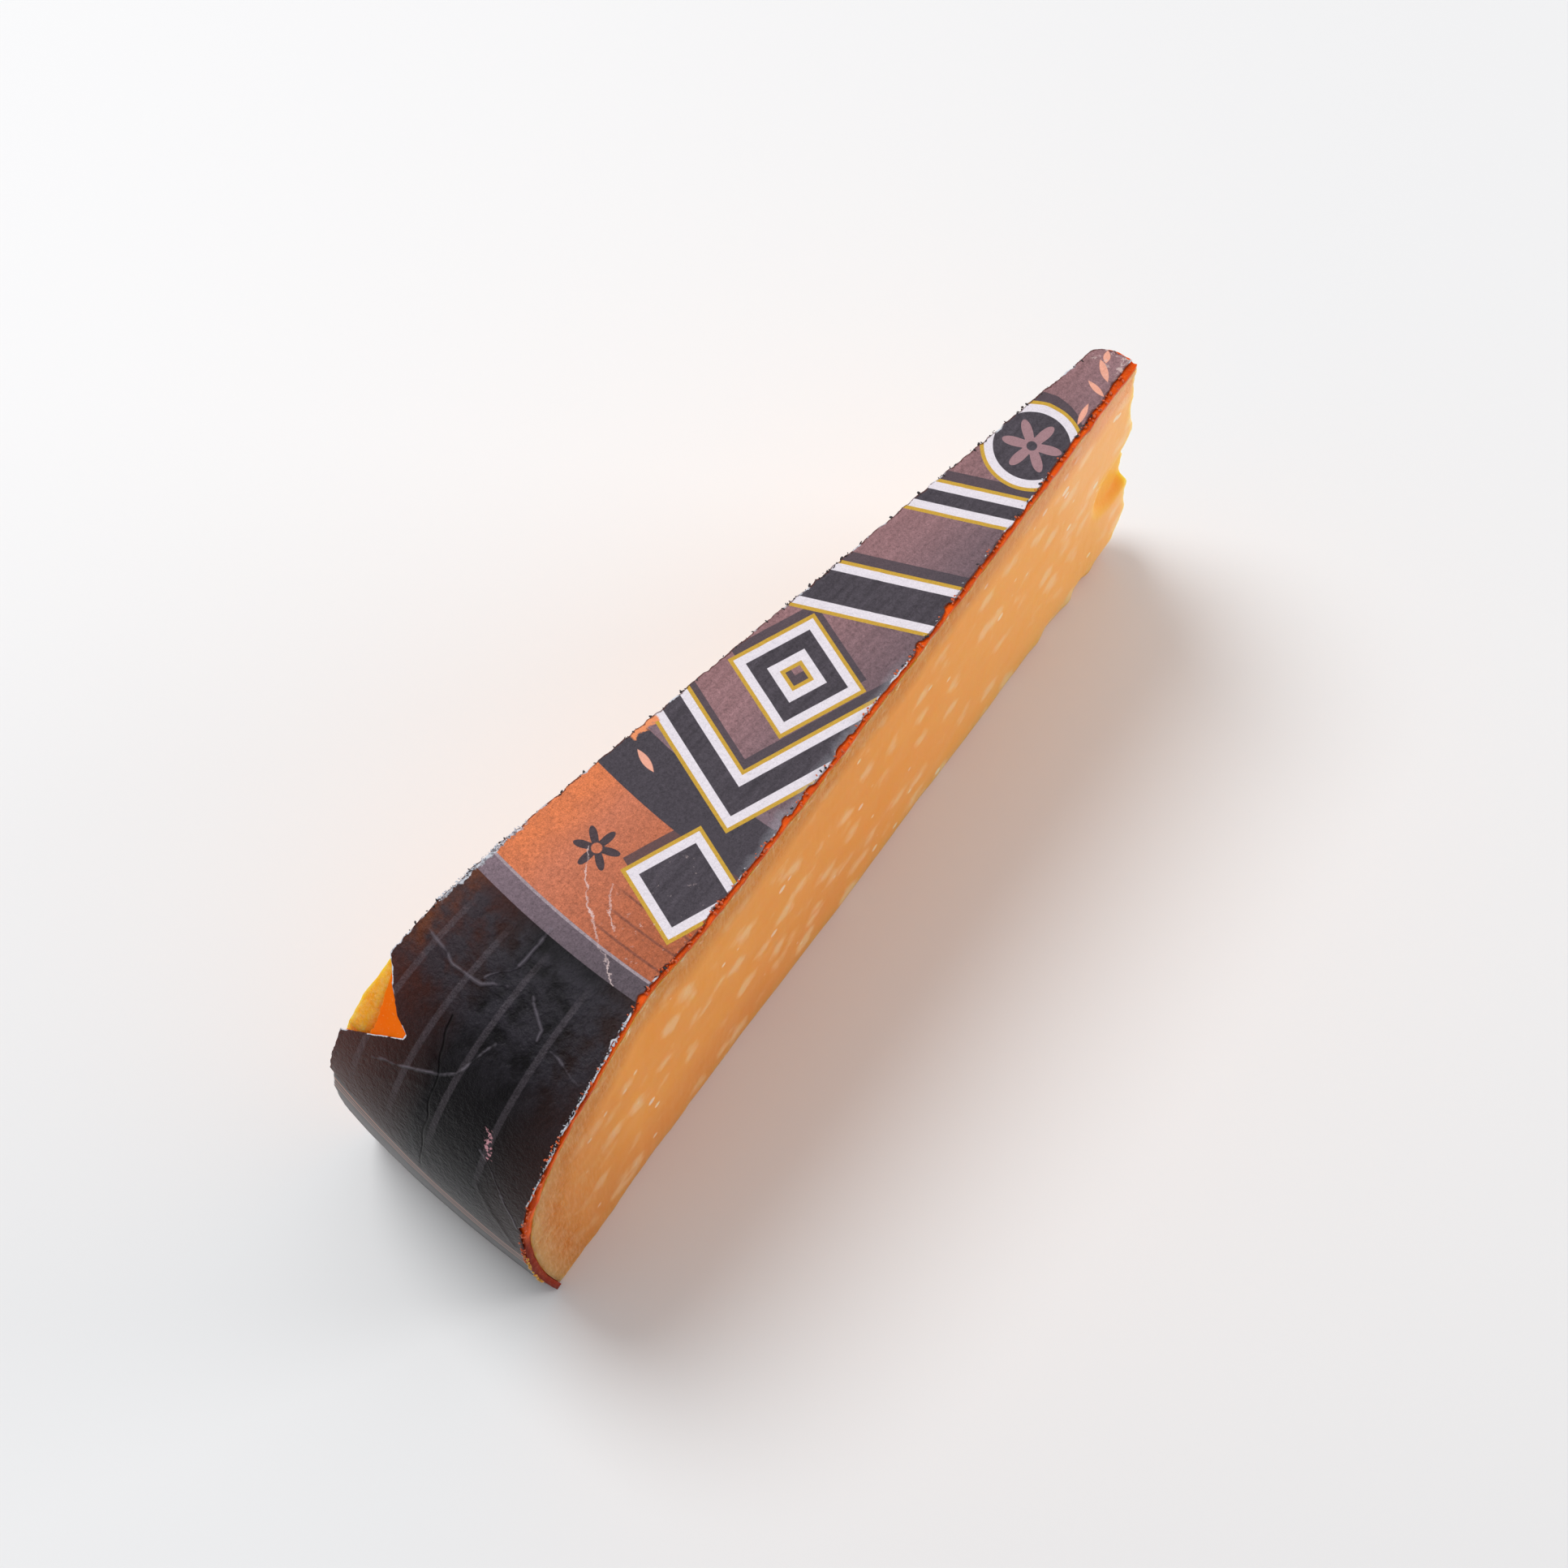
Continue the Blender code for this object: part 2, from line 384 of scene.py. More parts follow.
class Value:
    """A socket that takes part in sums: the operators add Math nodes."""

    def __init__(self, net, socket):
        self.net = net
        self.socket = socket

    def __add__(self, other):
        return self.net.math("ADD", self, other)

    def __sub__(self, other):
        return self.net.math("SUBTRACT", self, other)

    def __rsub__(self, other):
        return self.net.math("SUBTRACT", other, self)

    def __mul__(self, other):
        return self.net.math("MULTIPLY", self, other)

    def __truediv__(self, other):
        return self.net.math("DIVIDE", self, other)

    def __rtruediv__(self, other):
        return self.net.math("DIVIDE", other, self)

    def __neg__(self):
        return self.net.math("MULTIPLY", self, -1.0)

    def __abs__(self):
        return self.net.math("ABSOLUTE", self)

    __radd__ = __add__
    __rmul__ = __mul__

    def high(self, other):
        return self.net.math("MAXIMUM", self, other)

    def low(self, other):
        return self.net.math("MINIMUM", self, other)

    def below(self, edge, soft):
        """1 where this is below the edge, 0 above it, with a soft change between."""
        return self.net.node("ShaderNodeMath", {"operation": "ADD", "use_clamp": True},
                             {0: (edge - self) / soft, 1: 0.5})

    def above(self, edge, soft):
        return self.net.node("ShaderNodeMath", {"operation": "ADD", "use_clamp": True},
                             {0: (self - edge) / soft, 1: 0.5})


class Net:
    """One node tree: each method adds a node or a few and returns the output as a Value."""

    def __init__(self, tree):
        self.tree = tree

    def node(self, kind, settings=None, sockets=None, out=0):
        made = self.tree.nodes.new(kind)
        for key, value in (settings or {}).items():
            setattr(made, key, value)
        for key, value in (sockets or {}).items():
            if isinstance(value, Value):
                self.tree.links.new(value.socket, made.inputs[key])
            else:
                made.inputs[key].default_value = value
        return Value(self, made.outputs[out])

    def math(self, operation, *values):
        sockets = {i: value for i, value in enumerate(values)}
        return self.node("ShaderNodeMath", {"operation": operation}, sockets)

    def hypot(self, x, y):
        return self.math("POWER", x * x + y * y, 0.5)

    def split(self, vector):
        return [self.node("ShaderNodeSeparateXYZ", None, {0: vector}, out) for out in range(3)]

    def join(self, x, y, z):
        return self.node("ShaderNodeCombineXYZ", None, {0: x, 1: y, 2: z})

    def mix(self, factor, first, second, blend="MIX"):
        settings = {"data_type": "RGBA", "blend_type": blend, "clamp_factor": True}
        first = first if isinstance(first, Value) else (*first, 1.0)
        second = second if isinstance(second, Value) else (*second, 1.0)
        return self.node("ShaderNodeMix", settings, {0: factor, 6: first, 7: second}, out=2)

    def over(self, base, *coats):
        """A base colour with others laid over it in turn, each given as (factor, colour)."""
        for factor, tone in coats:
            base = self.mix(factor, base, tone)
        return base

    def times(self, first, second):
        """Two colours multiplied."""
        return self.mix(1.0, first, second, "MULTIPLY")

    def grain(self, vector, scale, detail=3.0, roughness=0.5):
        """Noise from 0 to 1."""
        return self.node("ShaderNodeTexNoise", None, {
            "Vector": vector, "Scale": scale, "Detail": detail, "Roughness": roughness})

    def cells(self, vector, scale):
        """The distance to the nearest of many scattered points, in cells."""
        return self.node("ShaderNodeTexVoronoi", None, {"Vector": vector, "Scale": scale})

    def stretched(self, vector, scale):
        return self.node("ShaderNodeMapping", None, {"Vector": vector, "Scale": scale})

    def attribute(self, name):
        return self.node("ShaderNodeAttribute", {"attribute_name": name}, None, "Vector")

    def place_mm(self):
        """Object coordinates in millimetres."""
        made = self.tree.nodes.new("ShaderNodeTexCoord")
        where = Value(self, made.outputs["Object"])
        return self.node("ShaderNodeVectorMath", {"operation": "SCALE"},
                         {0: where, "Scale": 1.0 / MM})


def new_material(name):
    """A material with a bare Principled shader: its net and the shader node."""
    material = bpy.data.materials.new(name)
    material.use_nodes = True
    tree = material.node_tree
    shader = tree.nodes["Principled BSDF"]
    return material, Net(tree), shader


def feed(net, shader, **links):
    """Link or set the shader's sockets, whose names have underscores for spaces here."""
    for key, value in links.items():
        socket = shader.inputs[key.replace("_", " ")]
        if isinstance(value, Value):
            net.tree.links.new(value.socket, socket)
        else:
            socket.default_value = value


def bumped(net, height, distance, strength):
    """The normal of a bump whose distance is in millimetres."""
    return net.node("ShaderNodeBump", None, {
        "Height": height, "Distance": distance * MM, "Strength": strength})


def shaded(tone, factor):
    """A colour made darker or lighter."""
    return tuple(min(1.0, part * factor) for part in tone)


def flat_grey(level):
    return (level, level, level)


# ---------------------------------------------------------------- settings

def colour(name, description, default):
    return bpy.props.FloatVectorProperty(
        name=name, description=description, subtype="COLOR", size=3, min=0.0, max=1.0, default=default)


def length(name, description, default):
    return bpy.props.FloatProperty(
        name=name, description=description, default=default, min=0.0, unit="LENGTH", subtype="DISTANCE",
        precision=5)


class PasteSettings(bpy.types.PropertyGroup):
    """The cut cheese."""

    body: colour("Paste", "Colour of the smooth inner paste", (0.88, 0.305, 0.034))
    rind: colour("Rind zone", "Colour of the drier paste under the coat", (0.43, 0.124, 0.020))
    crystal: colour("Crystals", "Colour of the pale crystals", (0.98, 0.64, 0.33))
    rind_depth: length("Rind depth", "How deep the dry zone reaches", 0.0085)


class CoatSettings(bpy.types.PropertyGroup):
    """The orange coating."""

    body: colour("Coat", "Colour of the coating", (0.88, 0.100, 0.001))
    shade: colour("Deep coat", "Colour where it is thick or dirty", (0.33, 0.026, 0.004))
    thickness: length("Thickness", "Thickness of the coat", 0.0010)
    crumbs: bpy.props.IntProperty(name="Crumbs", description="Crumbs left by the knife", default=260, min=0)


class PaperSettings(bpy.types.PropertyGroup):
    """The printed papers."""

    ink: colour("Ink", "Dark ground of the print", (0.068, 0.057, 0.070))
    mauve: colour("Mauve", "Lighter ground around the ornament", (0.330, 0.190, 0.207))
    black: colour("Heel black", "Ground on the heel", (0.003, 0.002, 0.003))
    orange: colour("Band", "Colour of the ring band", (0.62, 0.195, 0.105))
    white: colour("Outline", "Pale outline of the ornament", (0.80, 0.735, 0.79))
    gold: colour("Gold", "Gold outline of the ornament", (0.60, 0.355, 0.045))
    set_back: length("Set-back", "How far the paper has drawn back from the cuts", 0.0009)
    thickness: length("Thickness", "Thickness of the paper", 0.00015)
    bits: bpy.props.IntProperty(
        name="Bits", description="Torn bits of paper along the edges", default=130, min=0)


class StageSettings(bpy.types.PropertyGroup):
    """Floor, lights and camera."""

    distance: length("Distance", "From the camera to the point it looks at", 0.499)
    azimuth: bpy.props.FloatProperty(
        name="Azimuth", description="Camera's side, from the front", subtype="ANGLE",
        default=math.radians(-48.8))
    elevation: bpy.props.FloatProperty(
        name="Elevation", description="Camera's height above the horizon", subtype="ANGLE",
        default=math.radians(67.0))
    lens: bpy.props.FloatProperty(name="Lens", description="Focal length", default=74.53, unit="CAMERA")
    floor: colour("Floor", "Colour of the table", (0.836, 0.830, 0.832))


# ---------------------------------------------------------------- paste

def paste_grid():
    """The block of paste: from the tip to the rim, from the floor up, from the near cut to the far."""
    along = np.linspace(0.0, 1.0, 236)
    runs = np.linspace(FLOOR_RUN, SHOULDER_RUN, 136)
    rim, heights = skin(runs, PASTE_INSET)
    heights = np.maximum(heights, 0.0)
    heights[0] = 0.0
    sides = np.array([
        0.0, 0.012, 0.035, 0.08, 0.2, 0.35, 0.5, 0.65, 0.8,
        0.87, 0.89, 0.91, 0.93, 0.95, 0.97, 0.988, 1.0,
    ])
    tip = np.interp(heights, *zip(*TIP_OUTLINE)) + 0.5 * rough(heights, 0.0, 0.0, 5.0, 61)
    radius = tip[None, :] + (rim - tip)[None, :] * along[:, None]
    height = np.broadcast_to(heights[None, :], radius.shape)
    return along, radius, height, sides


def near_face_relief(radius, height, depth):
    """Outward lift of the near cut face: knife drag, the dry rind's crumble and the scooped tip."""
    lift = 0.10 * rough(radius, height, 0.0, 9.0, 31)
    dry = 1.0 - smooth_step(depth, 5.0, 10.0)
    lift = lift + dry * 0.11 * rough(radius, height, 0.0, 1.9, 35, 3)
    lift = lift - dry * 0.16 * smooth_step(noise(radius / 2.4, height / 1.6, 3.0, 37), 0.45, 0.9)
    heel = smooth_step(radius, 128.0, 150.0)
    lift = lift + heel * 0.06 * noise(radius / 0.9, height / 7.0, 0.0, 41)
    scoop = np.hypot((radius - SCOOP_CENTRE[0]) / SCOOP_SIZE[0], (height - SCOOP_CENTRE[1]) / SCOOP_SIZE[1])
    lift = lift - SCOOP_DEPTH * (1.0 - smooth_step(scoop, 0.72, 1.0)) * smooth_step(height, 11.0, 23.0)
    crumble = (1.0 - smooth_step(radius, 34.0, 60.0)) * (1.0 - smooth_step(height, 0.0, 4.0))
    lift = lift - crumble * 0.9 * (0.6 + noise(radius / 3.0, 0.0, 0.0, 43))
    return lift - 0.35 * (1.0 - smooth_step(height, 0.0, 0.7))


def far_face_relief(radius, height, depth):
    """Outward lift of the far cut face, plainer than the near one."""
    lift = 0.12 * rough(radius, height, 0.0, 10.0, 51)
    dry = 1.0 - smooth_step(depth, 5.0, 10.0)
    lift = lift + dry * 0.10 * rough(radius, height, 0.0, 2.0, 55, 3)
    return lift - 0.3 * (1.0 - smooth_step(height, 0.0, 0.7))


def build_paste(name):
    along, radius, height, sides = paste_grid()
    depth = depth_below_skin(radius, height)
    rim = smooth_step(along, 0.985, 1.0)[:, None]
    chipped = smooth_step(CHIP_DEPTH(run_at_height(height)), 0.2, 3.0) * rim
    chip = 0.5 * chipped
    near = HALF_ANGLE + (near_wander(radius, height) + near_face_relief(radius, height, depth)) / radius
    far = -HALF_ANGLE - (far_wander(radius, height) + far_face_relief(radius, height, depth) - chip) / radius
    out = np.interp(run_at_height(height), RUN, NORMAL_R)
    up = np.interp(run_at_height(height), RUN, NORMAL_Z)
    grid = []
    facts = []
    for side in sides:
        azimuth = near + (far - near) * side
        across = radius * azimuth
        slant = (tip_run(across) - TIP_RUN) * (1.0 - smooth_step(radius, 29.0, 60.0))
        ragged = 0.45 * noise(height / 4.0, across / 2.2, 0.0, 71) * (1.0 - smooth_step(radius, 27.0, 33.0))
        swell = 0.95 * chipped * smooth_step(side, 0.885, 0.935)
        swell = swell * (1.0 + 0.2 * noise(height / 0.7, across / 2.5, 0.0, 73))
        grid.append(place(radius + slant + ragged + swell * out, azimuth, height + swell * up))
        facts.append(np.stack([depth, radius, height], axis=-1))
    return block(name, np.stack(grid, axis=2), {"paste": np.stack(facts, axis=2)})


def paste_material(settings):
    material, net, shader = new_material("cut_cheese_paste")
    where = net.place_mm()
    y = net.split(where)[1]
    depth, radius, height = net.split(net.attribute("paste"))
    cloud = net.grain(where, 0.06)
    uneven = net.grain(where, 0.30, 2.0)
    fine = net.grain(where, 2.6, 4.0, 0.6)

    # zones: the tip, the heel, the drier paste under the coat, the scooped lobe, the torn corner
    tip = radius.below(62.0, 60.0)
    heel = radius.above(157.0 + 10.0 * cloud, 22.0)
    dry = depth.below(9.0 * cloud + (settings.rind_depth / MM - 4.5), 5.0)
    # painted shade: the paste darker low down towards the heel
    low_heel_shade = height.below(15.0, 14.0) * radius.above(105.0, 40.0)
    scoop = radius.below(34.3 + 2.0 * uneven, 2.0) * height.below(34.0, 2.0) * height.above(20.5, 7.0)
    chalky = heel * depth.below(5.0 + 6.0 * (uneven - 0.5), 4.0)
    edge = depth.below(0.9 + 1.2 * fine, 0.7) * (0.60 - 0.45 * tip)
    torn = depth.below(2.2, 0.5) * radius.above(158.0, 4.0) * y.above(13.3, 0.6) * height.above(42.0, 2.0)

    # crystals: soft pale clouds and a few bright specks
    veil = net.cells(where, 0.15).below(0.12 + 0.80 * (uneven - 0.32), 0.26)
    bright = net.cells(where, 0.30).below((net.grain(where, 0.10, 1.0) - 0.50) * 1.2, 0.07)

    lit = tuple(part * factor for part, factor in zip(settings.body, (1.03, 1.12, 1.35)))
    tan = net.mix(fine.above(0.52, 0.30), settings.rind, shaded(settings.rind, 1.4))
    # painted glow: the tan is lighter towards the thin tip, standing in for light shining through it
    tan = net.mix(tip * 0.9, tan, (0.97, 0.41, 0.23))
    fibres = net.grain(net.stretched(where, (0.25, 1.0, 1.0)), 1.1, 3.0, 0.6)
    comb = net.grain(net.stretched(where, (1.6, 1.6, 0.22)), 1.5, 3.0, 0.6)
    base = net.over(
        settings.body,
        (cloud.above(0.5, 0.5), lit),
        # painted glow: the paste lighter and yellower towards the thin tip, where light shines through it
        (tip * 0.95, (1.0, 0.445, 0.098)),
        # painted shade low down towards the heel
        (low_heel_shade * 0.5, (0.74, 0.215, 0.014)),
        (veil * 0.55, settings.crystal),
        (bright * 0.6, (0.98, 0.86, 0.68)),
        # painted glow: the scooped lobe lighter and yellower, as if light shone through it
        (scoop * 0.95, (1.0, 0.42, 0.006)),
        # painted light: the paste paler and yellower on the far side, where the window light falls on the
        # far cut face
        (y.above(3.5, 2.0) * 0.45, (0.92, 0.50, 0.20)),
        (dry * 0.78, net.mix(heel.high(tip), (0.61, 0.205, 0.042), tan)),
        (heel * 0.78, tan),
        (chalky * 0.75, (0.60, 0.275, 0.100)),
        (edge, (0.98, 0.31, 0.02)),
        # painted light: the torn corner's paste brighter, as if lit by the window it faces
        (torn * 0.95, (1.0, 0.37, 0.012)),
        (height.below(1.2, 2.0) * 0.6, (1.0, 0.30, 0.025)),
        (torn * fibres.above(0.52, 0.20) * 0.5, (1.0, 0.50, 0.10)),
        (heel.high(dry) * comb.above(0.56, 0.22) * 0.26, (0.86, 0.52, 0.27)),
    )
    roughness = 0.36 + 0.22 * dry + 0.14 * heel + 0.12 * (fine - 0.5)
    drag = net.grain(net.stretched(where, (1.0, 1.0, 0.16)), 0.9)
    pits = net.cells(where, 1.3).below(0.28, 0.3)
    relief = (0.25 + 0.9 * dry.high(heel)) * fine + 0.45 * drag - dry * 0.5 * pits
    feed(net, shader, Base_Color=base, Roughness=roughness, Normal=bumped(net, relief, 0.22, 0.8),
         Subsurface_Weight=0.9, Subsurface_Radius=(1.0, 0.46, 0.16), Subsurface_Scale=0.008,
         IOR=1.42, Specular_IOR_Level=0.22)
    return material


# ---------------------------------------------------------------- coat

def coat_relief(run, across):
    lumps = 0.05 * rough(run, across, 0.0, 3.0, 81)
    return lumps + 0.02 * noise(run / 0.7, across / 0.7, 0.0, 85)


def coat_near_edge(run):
    return 0.06 + 0.10 * rough(run, 0.0, 0.0, 2.2, 91)


def coat_far_edge(run):
    chip = CHIP_DEPTH(run) * (1.0 + 0.05 * noise(run / 0.6, 0.0, 0.0, 95))
    return 0.45 + 0.15 * rough(run, 0.0, 0.0, 2.6, 93) + chip


def build_coat(name, settings):
    def start(azimuth):
        across = TIP_RUN * azimuth
        return tip_run(across) + 0.25 + 0.25 * noise(across / 0.8, 0.0, 0.0, 97)

    def end(azimuth):
        return np.full_like(azimuth, FLOOR_RUN)

    insets = (COAT_INSET, COAT_INSET + settings.thickness / MM)
    return layer(name, 300, 44, (start, end), (coat_near_edge, coat_far_edge), insets, coat_relief)


def coat_material(settings):
    material, net, shader = new_material("orange_cheese_coat")
    where = net.place_mm()
    run, azimuth, _ = net.split(net.attribute("sheet"))
    patch = net.grain(where, 0.35)
    fine = net.grain(where, 3.2)
    low = run.above(run_mark(33.0), 5.0)
    torn = run.above(run_mark(56.0), 3.0) * run.below(run_mark(43.0), 3.0) * azimuth.below(-2.4, 0.5)
    base = net.over(
        settings.body,
        ((patch - 0.38) * 1.9, settings.shade),
        # painted light: the coat brighter orange inside the tear, as if lit by the window
        (torn * (0.4 + 0.9 * patch), (1.0, 0.175, 0.001)),
        (low * 0.95, (0.20, 0.012, 0.003)),
        (fine.above(0.66, 0.12) * 0.30, (0.92, 0.38, 0.12)),
    )
    feed(net, shader, Base_Color=base, Roughness=0.34 + 0.18 * fine + 0.2 * low,
         Normal=bumped(net, patch * 0.6 + fine * 0.5, 0.10, 0.7), Coat_Weight=0.02, Coat_Roughness=0.12,
         Specular_IOR_Level=0.08, Subsurface_Weight=0.25, Subsurface_Radius=(1.0, 0.22, 0.04),
         Subsurface_Scale=0.002)
    return material


# ---------------------------------------------------------------- papers

# Creases of the top label: lift, half width and a line of (across, run) points
CREASES = [
    (0.20, 0.55, [(-15.0, 158.0), (-4.6, 158.5), (-1.0, 157.0), (3.5, 163.0)]),
    (0.14, 0.50, [(-4.0, 161.0), (0.5, 154.0), (6.0, 150.0)]),
    (-0.16, 0.35, [(-4.4, 168.0), (-2.0, 176.0), (-0.5, 187.0), (0.5, 197.0)]),
    (0.14, 0.40, [(9.6, 184.0), (16.5, 195.0)]),
    (0.10, 0.60, [(-11.5, 182.0), (-5.0, 176.0), (-1.6, 175.0)]),
    (0.16, 0.70, [(-0.3, 32.5), (-1.6, 38.0), (-2.4, 44.0)]),
    (0.08, 0.60, [(-9.0, 96.0), (-3.0, 101.0), (5.0, 112.0)]),
    (0.07, 0.50, [(-5.5, 74.0), (0.0, 84.0), (3.0, 92.0)]),
    (-0.10, 0.30, [(-8.1, 135.0), (-1.7, 139.5), (3.2, 142.8), (9.9, 146.8)]),
    (-0.08, 0.25, [(1.4, 136.5), (3.0, 139.5), (4.6, 141.5)]),
]


def paper_relief(run, across):
    """Lift of the label: slow waves, fine wrinkles, creases and edges that curl."""
    lift = 0.07 * rough(run, across, 0.0, 13.0, 101, 2)
    wrinkle = smooth_step(noise(run / 9.0, across / 9.0, 5.0, 107), 0.0, 0.7)
    lift = lift + wrinkle * 0.035 * noise(run / 1.6, across / 0.8, 0.0, 105)
    for height, width, points in CREASES:
        line = [(run_value, across_value) for across_value, run_value in points]
        away = distance_to_line(run + 0.5 * noise(run / 2.0, across / 2.0, 0.0, 109), across, line)
        lift = lift + height * bump_at(away, 0.0, width) - 0.35 * height * bump_at(away, 0.0, 3.0 * width)
    return lift


def torn_edge(run, base, seed):
    """Set-back of a paper edge that was cut by a knife and then frayed."""
    ragged = 0.16 * rough(run, 0.0, 0.0, 1.9, seed, 4)
    bites = 0.45 * smooth_step(noise(run / 2.4, 0.0, 0.0, seed + 7), 0.40, 0.75)
    return np.clip(base + ragged + bites, 0.12, 3.0)


def build_top_label(name, settings):
    back = settings.set_back / MM

    def near(run):
        tip = 0.50 * (1.0 - smooth_step(run, 32.0, 60.0))
        foot = 0.45 * bump_at(run, run_mark(38.0), 8.0)
        heel = 0.25 * smooth_step(run, 148.0, 158.0)
        return torn_edge(run, 0.52 * back + tip + foot - heel, 121)

    def far(run):
        tear = TEAR_DEPTH(run)
        frayed = 0.16 * rough(run, 0.0, 0.0, 0.9, 133, 3)
        plain = np.clip(0.12 * back + 0.15 * rough(run, 0.0, 0.0, 1.1, 131, 3), 0.03, 1.0)
        return np.where(tear > 0.3, tear + frayed, plain)

    def start(azimuth):
        across = TIP_RUN * azimuth
        return tip_run(across) + 0.45 + 0.35 * rough(across, 0.0, 0.0, 1.4, 137)

    def end(azimuth):
        across = GIRTH_RADIUS * azimuth
        return seam_run(azimuth) + 0.12 * rough(across, 0.0, 0.0, 2.5, 139)

    insets = (TOP_PAPER_INSET, TOP_PAPER_INSET + settings.thickness / MM)
    return layer(name, 560, 78, (start, end), (near, far), insets, paper_relief)


def build_side_label(name, settings):
    back = settings.set_back / MM

    def near(run):
        foot = smooth_step(run, run_mark(24.0), run_mark(6.0))
        return torn_edge(run, 0.6 * back + 0.7 * foot, 141)

    def far(run):
        return torn_edge(run, 0.3 * back, 143)

    def start(azimuth):
        return seam_run(azimuth) - 0.6

    def end(azimuth):
        across = GIRTH_RADIUS * azimuth
        return run_at_height(SIDE_LABEL_FOOT) - 0.15 * rough(across, 0.0, 0.0, 2.2, 149)

    def relief(run, across):
        return 0.05 * rough(run, across, 0.0, 7.0, 151)

    insets = (SIDE_PAPER_INSET, SIDE_PAPER_INSET + settings.thickness / MM)
    return layer(name, 90, 70, (start, end), (near, far), insets, relief)


# Sharp creases of the heel, as (azimuth in degrees, height)
HEEL_CREASES = [
    [(-5.2, 58.2), (-3.1, 57.8), (-1.3, 58.1), (-0.2, 58.7)],
    [(-0.8, 60.6), (-0.6, 59.3), (-1.4, 58.4)],
    [(1.1, 59.0), (2.4, 58.3), (2.5, 57.7)],
    [(-3.9, 45.6), (-2.8, 47.1), (0.1, 52.0), (0.7, 56.1)],
    [(2.7, 45.6), (4.4, 41.9), (5.5, 36.6)],
    [(3.5, 57.7), (5.4, 57.2)],
]
HEEL_CRACK = [(-1.5, 55.5), (-0.7, 50.2), (-0.1, 41.3), (0.0, 32.4)]

HEEL_STRIPES = (-4.6, -2.2, 0.2, 3.0)      # azimuths in degrees

# Cracks across the orange ring, as flat x and y
BAND_CRACK = [(134.6, -5.6), (139.5, -1.7), (143.0, 3.2), (146.9, 9.9)]
SHORT_CRACK = [(136.4, 0.6), (139.8, 2.6), (141.6, 5.0)]


class Sheet:
    """Print coordinates of a paper: run, azimuth, and the flat x and y they stand for."""

    def __init__(self, net, move_x=0.0, move_y=0.0):
        self.net = net
        self.run, self.degrees, self.margin = net.split(net.attribute("sheet"))
        turn = self.degrees * math.radians(1.0)
        self.x = self.run * net.math("COSINE", turn) + move_x
        self.y = self.run * net.math("SINE", turn) + move_y
        # the ornament stands square to a line that slants across the wedge
        cos, sin = math.cos(ORNAMENT_SLANT), math.sin(ORNAMENT_SLANT)
        self.p = self.y * cos - self.x * sin
        self.q = self.x * cos + self.y * sin

    def tile(self, p, q, half_p, half_q):
        """Distance outside a box that stands square to the slant, negative inside."""
        return (abs(self.p - p) - half_p).high(abs(self.q - q) - half_q)

    def lozenge(self, p, q, half):
        """Distance outside a square that stands on its corner in the slant."""
        return (abs(self.p - p) + abs(self.q - q)) * math.sqrt(0.5) - half

    def arrow(self, p, q):
        """Distance outside a right-angled wedge that points to the heel, its corner at (p, q)."""
        return (abs(self.p - p) + (self.q - q)) * math.sqrt(0.5)

    def disc(self, x, y, radius):
        """Distance outside a disc, negative inside."""
        away = self.net.node("ShaderNodeVectorMath", {"operation": "DISTANCE"},
                             {0: self.net.join(self.x, self.y, 0.0), 1: (x, y, 0.0)}, "Value")
        return away - radius

    def leaf(self, x, y, half_length, half_width, angle):
        """Distance outside a pointed leaf, roughly, negative inside."""
        turn = math.radians(angle)
        u = (self.x - x) * math.cos(turn) + (self.y - y) * math.sin(turn)
        v = (self.y - y) * math.cos(turn) - (self.x - x) * math.sin(turn)
        return abs(v) + (u * u) * (half_width / half_length ** 2) - half_width


def flat_mark(degrees, height):
    """The flat x and y of a point on the heel, given by azimuth and height."""
    run = run_mark(height)
    turn = math.radians(degrees)
    return run * math.cos(turn), run * math.sin(turn)


def hollow(outer, width):
    """A frame of the given width inside an outline."""
    return outer.high(-(outer + width))


def ornament(sheet):
    """The printed figures: a roundel, two bars, a nested lozenge, a chevron and a diamond."""
    return reduce(Value.low, [
        sheet.disc(*ROUNDEL, 6.7),
        sheet.tile(0.0, 55.4, 200.0, 2.3),
        sheet.tile(0.0, 72.4, 200.0, 3.7),
        hollow(sheet.lozenge(-45.5, 86.6, 6.3), 4.6),
        hollow(sheet.arrow(-49.0, 110.5), 5.6),
        sheet.lozenge(-52.5, 119.7, 5.6),
    ])


def crack(sheet, points, width, soft):
    """A thin line through points given as flat (x, y)."""
    pieces = []
    for (ax, ay), (bx, by) in zip(points, points[1:]):
        dx, dy = bx - ax, by - ay
        span = dx * dx + dy * dy
        u = sheet.x - ax
        v = sheet.y - ay
        t = (u * (dx / span) + v * (dy / span)).high(0.0).low(1.0)
        pieces.append(sheet.net.hypot(u - t * dx, v - t * dy))
    return reduce(Value.low, pieces).below(width, soft)


